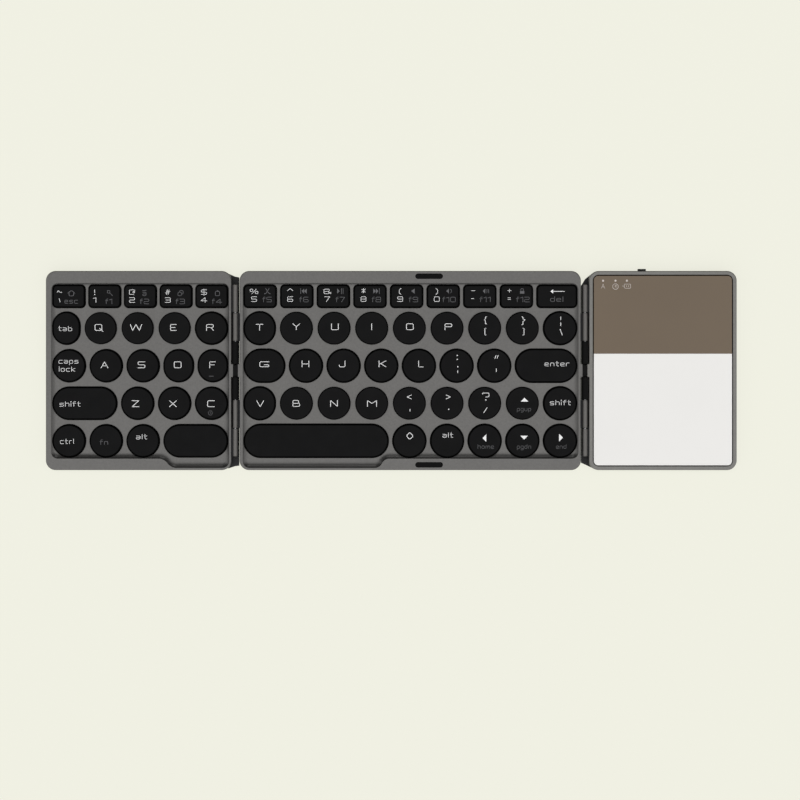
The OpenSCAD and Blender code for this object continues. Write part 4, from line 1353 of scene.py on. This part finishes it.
class HingeOperator(bpy.types.Operator):
    """Builds the barrels, sleeves and pins of both hinges"""
    bl_idname = "keyboard.hinges"
    bl_label = "Hinges"

    def execute(self, context):
        hinges = settings("hinges")
        edge = hinges.barrel_edge / MM
        metal = brushed("barrel_metal", hinges.barrel_colour, 0.5)
        steel = brushed("pin_steel", (0.42, 0.42, 0.43), 0.25)
        black = grained("sleeve_black", hinges.sleeve_colour, 0.5, 0.15, 0.006, 0.2, Specular_IOR_Level=0.08)
        dark_steel = brushed("leaf_steel", (0.020, 0.020, 0.021), 0.5)
        inner_barrels = barrels(LEFT_AXIS, INNER_KNUCKLE, edge) + barrels(RIGHT_AXIS, INNER_KNUCKLE, edge)
        piece(joined(inner_barrels), "centre_barrels", "centre_panel", metal, "hinge_metal",
              ["centre_hinge_leaves"])
        inner_leaves = leaves(LEFT_AXIS, CENTRE_X[0], INNER_KNUCKLE)
        inner_leaves += leaves(RIGHT_AXIS, CENTRE_X[1], INNER_KNUCKLE)
        piece(joined(inner_leaves), "centre_leaves", "centre_panel", dark_steel, "hinge_metal")
        for side, axis_x, panel_edge in (("left", LEFT_AXIS, LEFT_X[1]), ("right", RIGHT_AXIS, RIGHT_X[0])):
            piece(joined(barrels(axis_x, OUTER_KNUCKLE, edge)), side + "_barrels", side + "_panel", metal,
                  "hinge_metal", [side + "_hinge_leaf"])
            piece(joined(leaves(axis_x, panel_edge, OUTER_KNUCKLE)), side + "_leaves", side + "_panel",
                  dark_steel, "hinge_metal")
            sleeves = [tube(axis_x, AXIS_Z, span, SLEEVE, BORE, SLEEVE_EDGE)
                       for span in both_ends(SLEEVE_SPAN)]
            piece(joined(sleeves), side + "_sleeves", side + "_panel", black, "hinge_sleeve",
                  [side + "_hinge_sleeves"])
        low, high = box_mm("hinge_pins")
        pins = [turned([(y0, 0), (y0, PIN - PIN_EDGE), (y0 + PIN_EDGE, PIN),
                        (y1 - PIN_EDGE, PIN), (y1, PIN - PIN_EDGE), (y1, 0)], axis_x, AXIS_Z, 24)
                for axis_x in (LEFT_AXIS, RIGHT_AXIS)
                for y0, y1 in ((PIN_START, high.y), (low.y, -PIN_START))]
        piece(joined(pins), "pins", "centre_panel", steel, "pin_steel", ["hinge_pins"])
        return {"FINISHED"}


class CableOperator(bpy.types.Operator):
    """Builds the ribbon cables across the hinges"""
    bl_idname = "keyboard.cables"
    bl_label = "Ribbon cables"

    def execute(self, context):
        film = grained("cable_film", (0.003, 0.003, 0.003), 0.4, 0.5, 0.01, 0.25, Specular_IOR_Level=0.08)
        board = box_mm("main_board")[1].z
        bridge = [(RIBBON_LEG * n / 6, RIBBON_BRIDGE) for n in range(-6, 7)]
        for side, axis_x, feet, end_z in (("left", LEFT_AXIS, LEFT_RIBBON_FEET, SEAM),
                                          ("right", RIGHT_AXIS, RIGHT_RIBBON_FEET, board)):
            points = [(feet[0], SEAM), (feet[0], RIBBON_RUN), (-RIBBON_LEG, RIBBON_RUN)] + bridge
            points += [(RIBBON_LEG, RIBBON_RUN), (feet[1], RIBBON_RUN), (feet[1], end_z)]
            strip = ribbon_strip(axis_x, points, RIBBON, RIBBON_HALF, RIBBON_BEND)
            ribbon = piece(strip, side + "_ribbon", None, film, "flex_cable", [side + "_flex_cable"])
            start = ((axis_x - RIBBON_LEG) * MM, 0, RIBBON_BRIDGE * MM)
            end = ((axis_x + RIBBON_LEG) * MM, 0, RIBBON_BRIDGE * MM)
            if side == "left":
                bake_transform(ribbon)
            else:
                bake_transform(ribbon)
        return {"FINISHED"}


class TouchOperator(bpy.types.Operator):
    """Builds the touch surface and its status signs"""
    bl_idname = "keyboard.touch"
    bl_label = "Touch surface"

    def execute(self, context):
        touch = settings("touch")
        low, high = box_mm("touch_surface")
        plate = slab(low.xy, high.xy, low.z, high.z, touch.corner / MM, TOUCH_EDGE)
        gloss = touch_finish("touch_gloss", touch.upper_colour, touch.lower_colour, touch.division)
        piece(plate, "touch_plate", "right_panel", gloss, "touch_surface", ["touch_surface"])
        # painted shade: a black foam strip at the bottom of the groove round the plate, black so the groove
        # reads dark as its shade
        groove = right_outline(TOUCH_RIM + GASKET_CLEARANCE, low.z)
        first_raise(groove, GASKET_HEIGHT)
        inside = round_rectangle(low.xy - GASKET_FIT, high.xy + GASKET_FIT, low.z - 1, touch.corner / MM)
        gasket = carve(groove, [straight_cutter(inside, 3)])
        groove_shade_foam = grained("gasket_foam_shade", (0.004, 0.004, 0.004), 0.8, 0.3, 0.02, 0.2, Specular_IOR_Level=0.1)
        piece(gasket, "touch_gasket", "right_panel", groove_shade_foam, "touch_surface")
        marks = bmesh.new()
        for sign, x, size in STATUS_MARKS:
            write(marks, Mark([sign], 0, 0, *size, False), x, STATUS_SIGN_Y, high.z, STATUS_RISE)
            light = cylinder((x, STATUS_LIGHT_Y), STATUS_LIGHT, high.z - SUNK, high.z + STATUS_RISE, 20)
            stamp(marks, light)
            light.free()
        piece(marks, "status_marks", "right_panel", legend_finish("status_ink", touch.mark_colour),
              "touch_surface")
        return {"FINISHED"}


def disc(at, radius, bottom, top, under, segments):
    """A round plate whose lower edge is rounded."""
    low, high = zip(around(at[0], radius), around(at[1], radius))
    return slab(low, high, bottom, top, radius * ROUND, 0, under, segments)


def screw(at):
    """A flat-headed screw seen from below, with a cross in its head."""
    bottom, top = (corner.z for corner in box_mm("centre_screws"))

    def arm(half_x, half_y):
        return block(around(at[0], half_x), around(at[1], half_y), (bottom - 1, bottom + CROSS_DEPTH))

    head = disc(at, SCREW_HEAD, bottom, bottom + SCREW_HEAD_HEIGHT, FINE_CHAMFER, 2)
    cross = united(arm(CROSS_REACH, CROSS_HALF), [arm(CROSS_HALF, CROSS_REACH)])
    shank = cylinder(at, SCREW_SHANK, bottom + SCREW_HEAD_HEIGHT - 0.1, top, 16)
    return united(carve(head, [cross]), [shank])


def charging_port():
    """A metal shell open to the rear, with a flat contact inside."""
    low, high = PORT
    port = port_shape(0, (low.y, high.y), PORT_CORNER)
    port = carve(port, [port_shape(-PORT_WALL, (low.y + PORT_WALL, high.y + 1), PORT_CORNER - 0.25)])
    contact = block(around((low.x + high.x) / 2, CONTACT_HALF), (low.y + PORT_WALL - 0.05, high.y - 0.8),
                    [low.z + rise for rise in CONTACT_RISE], 0.1)
    return united(port, [contact])


def switch_knob():
    """The grooved knob of the power switch, on the lever that reaches into its housing."""
    low, high = KNOB
    knob = block((low.x, high.x), (REAR - 1.5, high.y), (low.z, high.z), 0.18)
    grooves = [block(around(low.x + x, GROOVE_HALF), (high.y - GROOVE_DEPTH, high.y + 1),
                     (low.z - 1, high.z + 1)) for x in KNOB_GROOVES]
    lever = block((low.x + 1, low.x + 3), (low.y, REAR - 1), LEVER_Z, 0.05)
    return united(carve(knob, grooves), [lever])


class FittingOperator(bpy.types.Operator):
    """Builds the rest pads, feet, screws, charging port and power switch"""
    bl_idname = "keyboard.fittings"
    bl_label = "Fittings"

    def execute(self, context):
        rubber = grained("pad_rubber", (0.003, 0.003, 0.003), 0.62, 0.25, 0.02, 0.2, Specular_IOR_Level=0.08)
        foot_rubber = grained("foot_rubber", (0.018, 0.018, 0.019), 0.72, 0.3, 0.03, 0.15)
        steel = brushed("screw_steel", (0.10, 0.10, 0.105), 0.38, "X")
        shell = brushed("port_steel", (0.55, 0.55, 0.56), 0.28, "X")
        knob_plastic = grained("knob_plastic", (0.006, 0.006, 0.006), 0.5, 0.15, 0.01, 0.15,
                               Specular_IOR_Level=0.1)
        pads = []
        for y in (-PAD_Y, PAD_Y):
            pad = rest_pad_outline(y, PAD_BOTTOM)
            _, face = first_raise(pad, PAD_TOP - PAD_BOTTOM - PAD_EDGE)
            round_over(pad, face, PAD_EDGE, 1, 4)
            pads.append(pad)
        piece(joined(pads), "rest_pads", "centre_panel", rubber, "bumper_rubber", ["bumpers"])
        for side in ("left", "centre", "right"):
            feet = [disc(at, FOOT_RADIUS, 0, COVER_BOTTOM + FOOT_SUNK, 0.2, 3)
                    for at in centres_of(side + "_feet")]
            piece(joined(feet), side + "_pads", side + "_panel", foot_rubber, "foot_rubber", [side + "_feet"])
            screws = [screw(at) for at in centres_of(side + "_screws")]
            piece(joined(screws), side + "_fixings", side + "_panel", steel, "screw_steel",
                  [side + "_screws"])
        piece(charging_port(), "charging_port", "right_panel", shell, "port_metal", ["usb_port"])
        piece(switch_knob(), "switch_knob", "power_switch", knob_plastic, "switch_knob", ["power_switch"])
        return {"FINISHED"}


def under_keys(source, keys):
    """The part of a CAD node's mesh that stands under some keys."""
    bm = cad_copy(source)
    elsewhere = [v for v in bm.verts
                 if not any(key.x0 < v.co.x < key.x1 and key.y0 < v.co.y < key.y1 for key in keys)]
    bmesh.ops.delete(bm, geom=elsewhere, context="VERTS")
    return bm


class SpringOperator(bpy.types.Operator):
    """Puts a dome and scissors under each key"""
    bl_idname = "keyboard.springs"
    bl_label = "Domes and scissors"

    def execute(self, context):
        silicone = grained("dome_silicone", (0.62, 0.62, 0.60), 0.42, 0.4, 0.01, 0.03, 3,
                           Subsurface_Weight=0.2)
        moulding = grained("scissor_moulding", (0.70, 0.70, 0.68), 0.40, 0.2, 0.008, 0.02, 4)
        kinds = (("dome", silicone, "dome_rubber"), ("scissor", moulding, "scissor_plastic"))
        for side, nodes in (("left", LEFT_KEYS), ("centre", CENTRE_KEYS)):
            for node in nodes:
                for kind, finish, slot in kinds:
                    source = side + "_" + kind + "s"
                    made = piece(under_keys(source, keys_of(node)), node.replace("_key", "_" + kind),
                                 side + "_panel", finish, slot, [source])
                    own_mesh(made)
        return {"FINISHED"}


def inner_finishes():
    """Finishes of the CAD nodes that show as they are, by the end of the node's name."""
    return {
        "key_plate": brushed("plate_steel", (0.50, 0.50, 0.52), 0.34, "X"),
        "membrane": membrane_finish("membrane_film"),
        "magnets": grained("magnet_plate", (0.58, 0.58, 0.60), 0.22, 0.2, 0.004, 0.03, 4, Metallic=0.95),
        "board": board_finish("circuit_board"),
        "battery": foil_finish("battery_foil"),
        "switch_body": grained("switch_moulding", (0.05, 0.05, 0.052), 0.45, 0.2, 0.01, 0.1),
    }


class InnerOperator(bpy.types.Operator):
    """Finishes the parts inside the panels"""
    bl_idname = "keyboard.inner_parts"
    bl_label = "Inner parts"

    def execute(self, context):
        for ending, finish in inner_finishes().items():
            found = [node for name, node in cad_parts.items() if name.endswith(ending)]
            if not found:
                raise RuntimeError("no node ends in " + ending)
            for node in found:
                node.data.materials.clear()
                node.data.materials.append(finish)
        return {"FINISHED"}


# ---------- stage ----------

def lamp(name, at, size, power):
    """A soft white area lamp turned towards the object's middle."""
    light = bpy.data.lights.new(name, "AREA")
    light.shape = "RECTANGLE"
    light.size, light.size_y = size
    light.energy = power
    made = bpy.data.objects.new(name, light)
    made.location = at
    made.rotation_euler = (-at).to_track_quat("-Z", "Y").to_euler()
    bpy.context.scene.collection.objects.link(made)


class Sky(Finish):
    """World light like a wide soft box overhead, tilted to the front."""

    def __init__(self, name, overhead, surround):
        world = bpy.data.worlds.new(name)
        world.use_nodes = True
        bpy.context.scene.world = world
        self.tree = world.node_tree
        self.tree.nodes.clear()
        facing = self.node("ShaderNodeVectorMath", {"operation": "DOT_PRODUCT"},
                           {0: self.node("ShaderNodeTexCoord", output="Generated"), 1: SKY_AXIS}, "Value")
        stops = list(zip(SKY_EDGE, (grey(surround), grey(overhead))))
        tone = self.node("ShaderNodeValToRGB", {"interpolation": "EASE", "stops": stops}, {0: facing})
        light = self.node("ShaderNodeBackground", None, {"Color": tone})
        self.node("ShaderNodeOutputWorld", None, {"Surface": light})


def floor_finish(name, colour):
    """Pale floor that shows its own colour to the camera and to gloss, and still takes a shadow."""
    finish = Finish(name)
    camera, gloss, through = [finish.node("ShaderNodeLightPath", output="Is %s Ray" % kind)
                              for kind in ("Camera", "Glossy", "Transmission")]
    paper = finish.noise(2.0, 2)
    tone = finish.waver(paper, colour, 0.997, 1.003)
    plain = finish.node("ShaderNodeBsdfDiffuse", None, {"Color": tone})
    glow = finish.node("ShaderNodeEmission", None, {"Color": tone, "Strength": 1.0})
    seen = (camera | gloss | through) * FLOOR_GLOW
    shown = finish.node("ShaderNodeMixShader", None, {0: seen, 1: plain, 2: glow})
    finish.node("ShaderNodeOutputMaterial", None, {"Surface": shown})
    return finish.material


class StageOperator(bpy.types.Operator):
    """Sets up the camera, lamps, sky and floor"""
    bl_idname = "keyboard.stage"
    bl_label = "Stage"

    def execute(self, context):
        stage = settings("stage")
        camera = bpy.data.cameras.new("camera")
        camera.sensor_width = SENSOR
        camera.lens = stage.lens
        distance = VIEW_WIDTH * MM * stage.lens / SENSOR
        seen_from = bpy.data.objects.new("camera", camera)
        seen_from.location = (VIEW_CENTRE[0] * MM, VIEW_CENTRE[1] * MM, RIM_TOP * MM + distance)
        context.scene.collection.objects.link(seen_from)
        context.scene.camera = seen_from
        for side in (-1, 1):
            lamp("side lamp", SIDE_LAMP * Vector((side, 1, 1)), SIDE_LAMP_SIZE, stage.side_power)
        lamp("rear lamp", REAR_LAMP, REAR_LAMP_SIZE, stage.rear_power)
        Sky("studio", stage.overhead, stage.surround)
        floor = bmesh.new()
        bmesh.ops.create_grid(floor, x_segments=8, y_segments=8, size=FLOOR_REACH)
        made = piece(floor, "floor", None, floor_finish("floor_paper", stage.background), None)
        view = context.scene.view_settings
        view.view_transform = "Standard"
        return {"FINISHED"}


OPERATORS = (FrameOperator, CoverOperator, KeyOperator, LegendOperator, HingeOperator, CableOperator,
             TouchOperator, FittingOperator, SpringOperator, InnerOperator, StageOperator)


class KeyboardPanel(bpy.types.Panel):
    """Lists the steps and settings of the keyboard."""
    bl_idname = "VIEW3D_PT_keyboard"
    bl_label = "Folding keyboard"
    bl_space_type = "VIEW_3D"
    bl_region_type = "UI"
    bl_category = "Keyboard"

    def draw(self, context):
        for step in OPERATORS:
            self.layout.operator(step.bl_idname)
        for name, group in SETTINGS.items():
            box = self.layout.box()
            for prop in group.__annotations__:
                box.prop(getattr(context.scene, name), prop)


CLASSES = tuple(SETTINGS.values()) + OPERATORS + (KeyboardPanel,)


def register():
    for cls in CLASSES:
        bpy.utils.register_class(cls)
    for name, group in SETTINGS.items():
        setattr(bpy.types.Scene, name, bpy.props.PointerProperty(type=group))


def unregister():
    for name in SETTINGS:
        delattr(bpy.types.Scene, name)
    for cls in reversed(CLASSES):
        bpy.utils.unregister_class(cls)


def main():
    register()
    for step in OPERATORS:
        group, name = step.bl_idname.split(".")
        getattr(getattr(bpy.ops, group), name)()


if __name__ == "__main__":
    main()
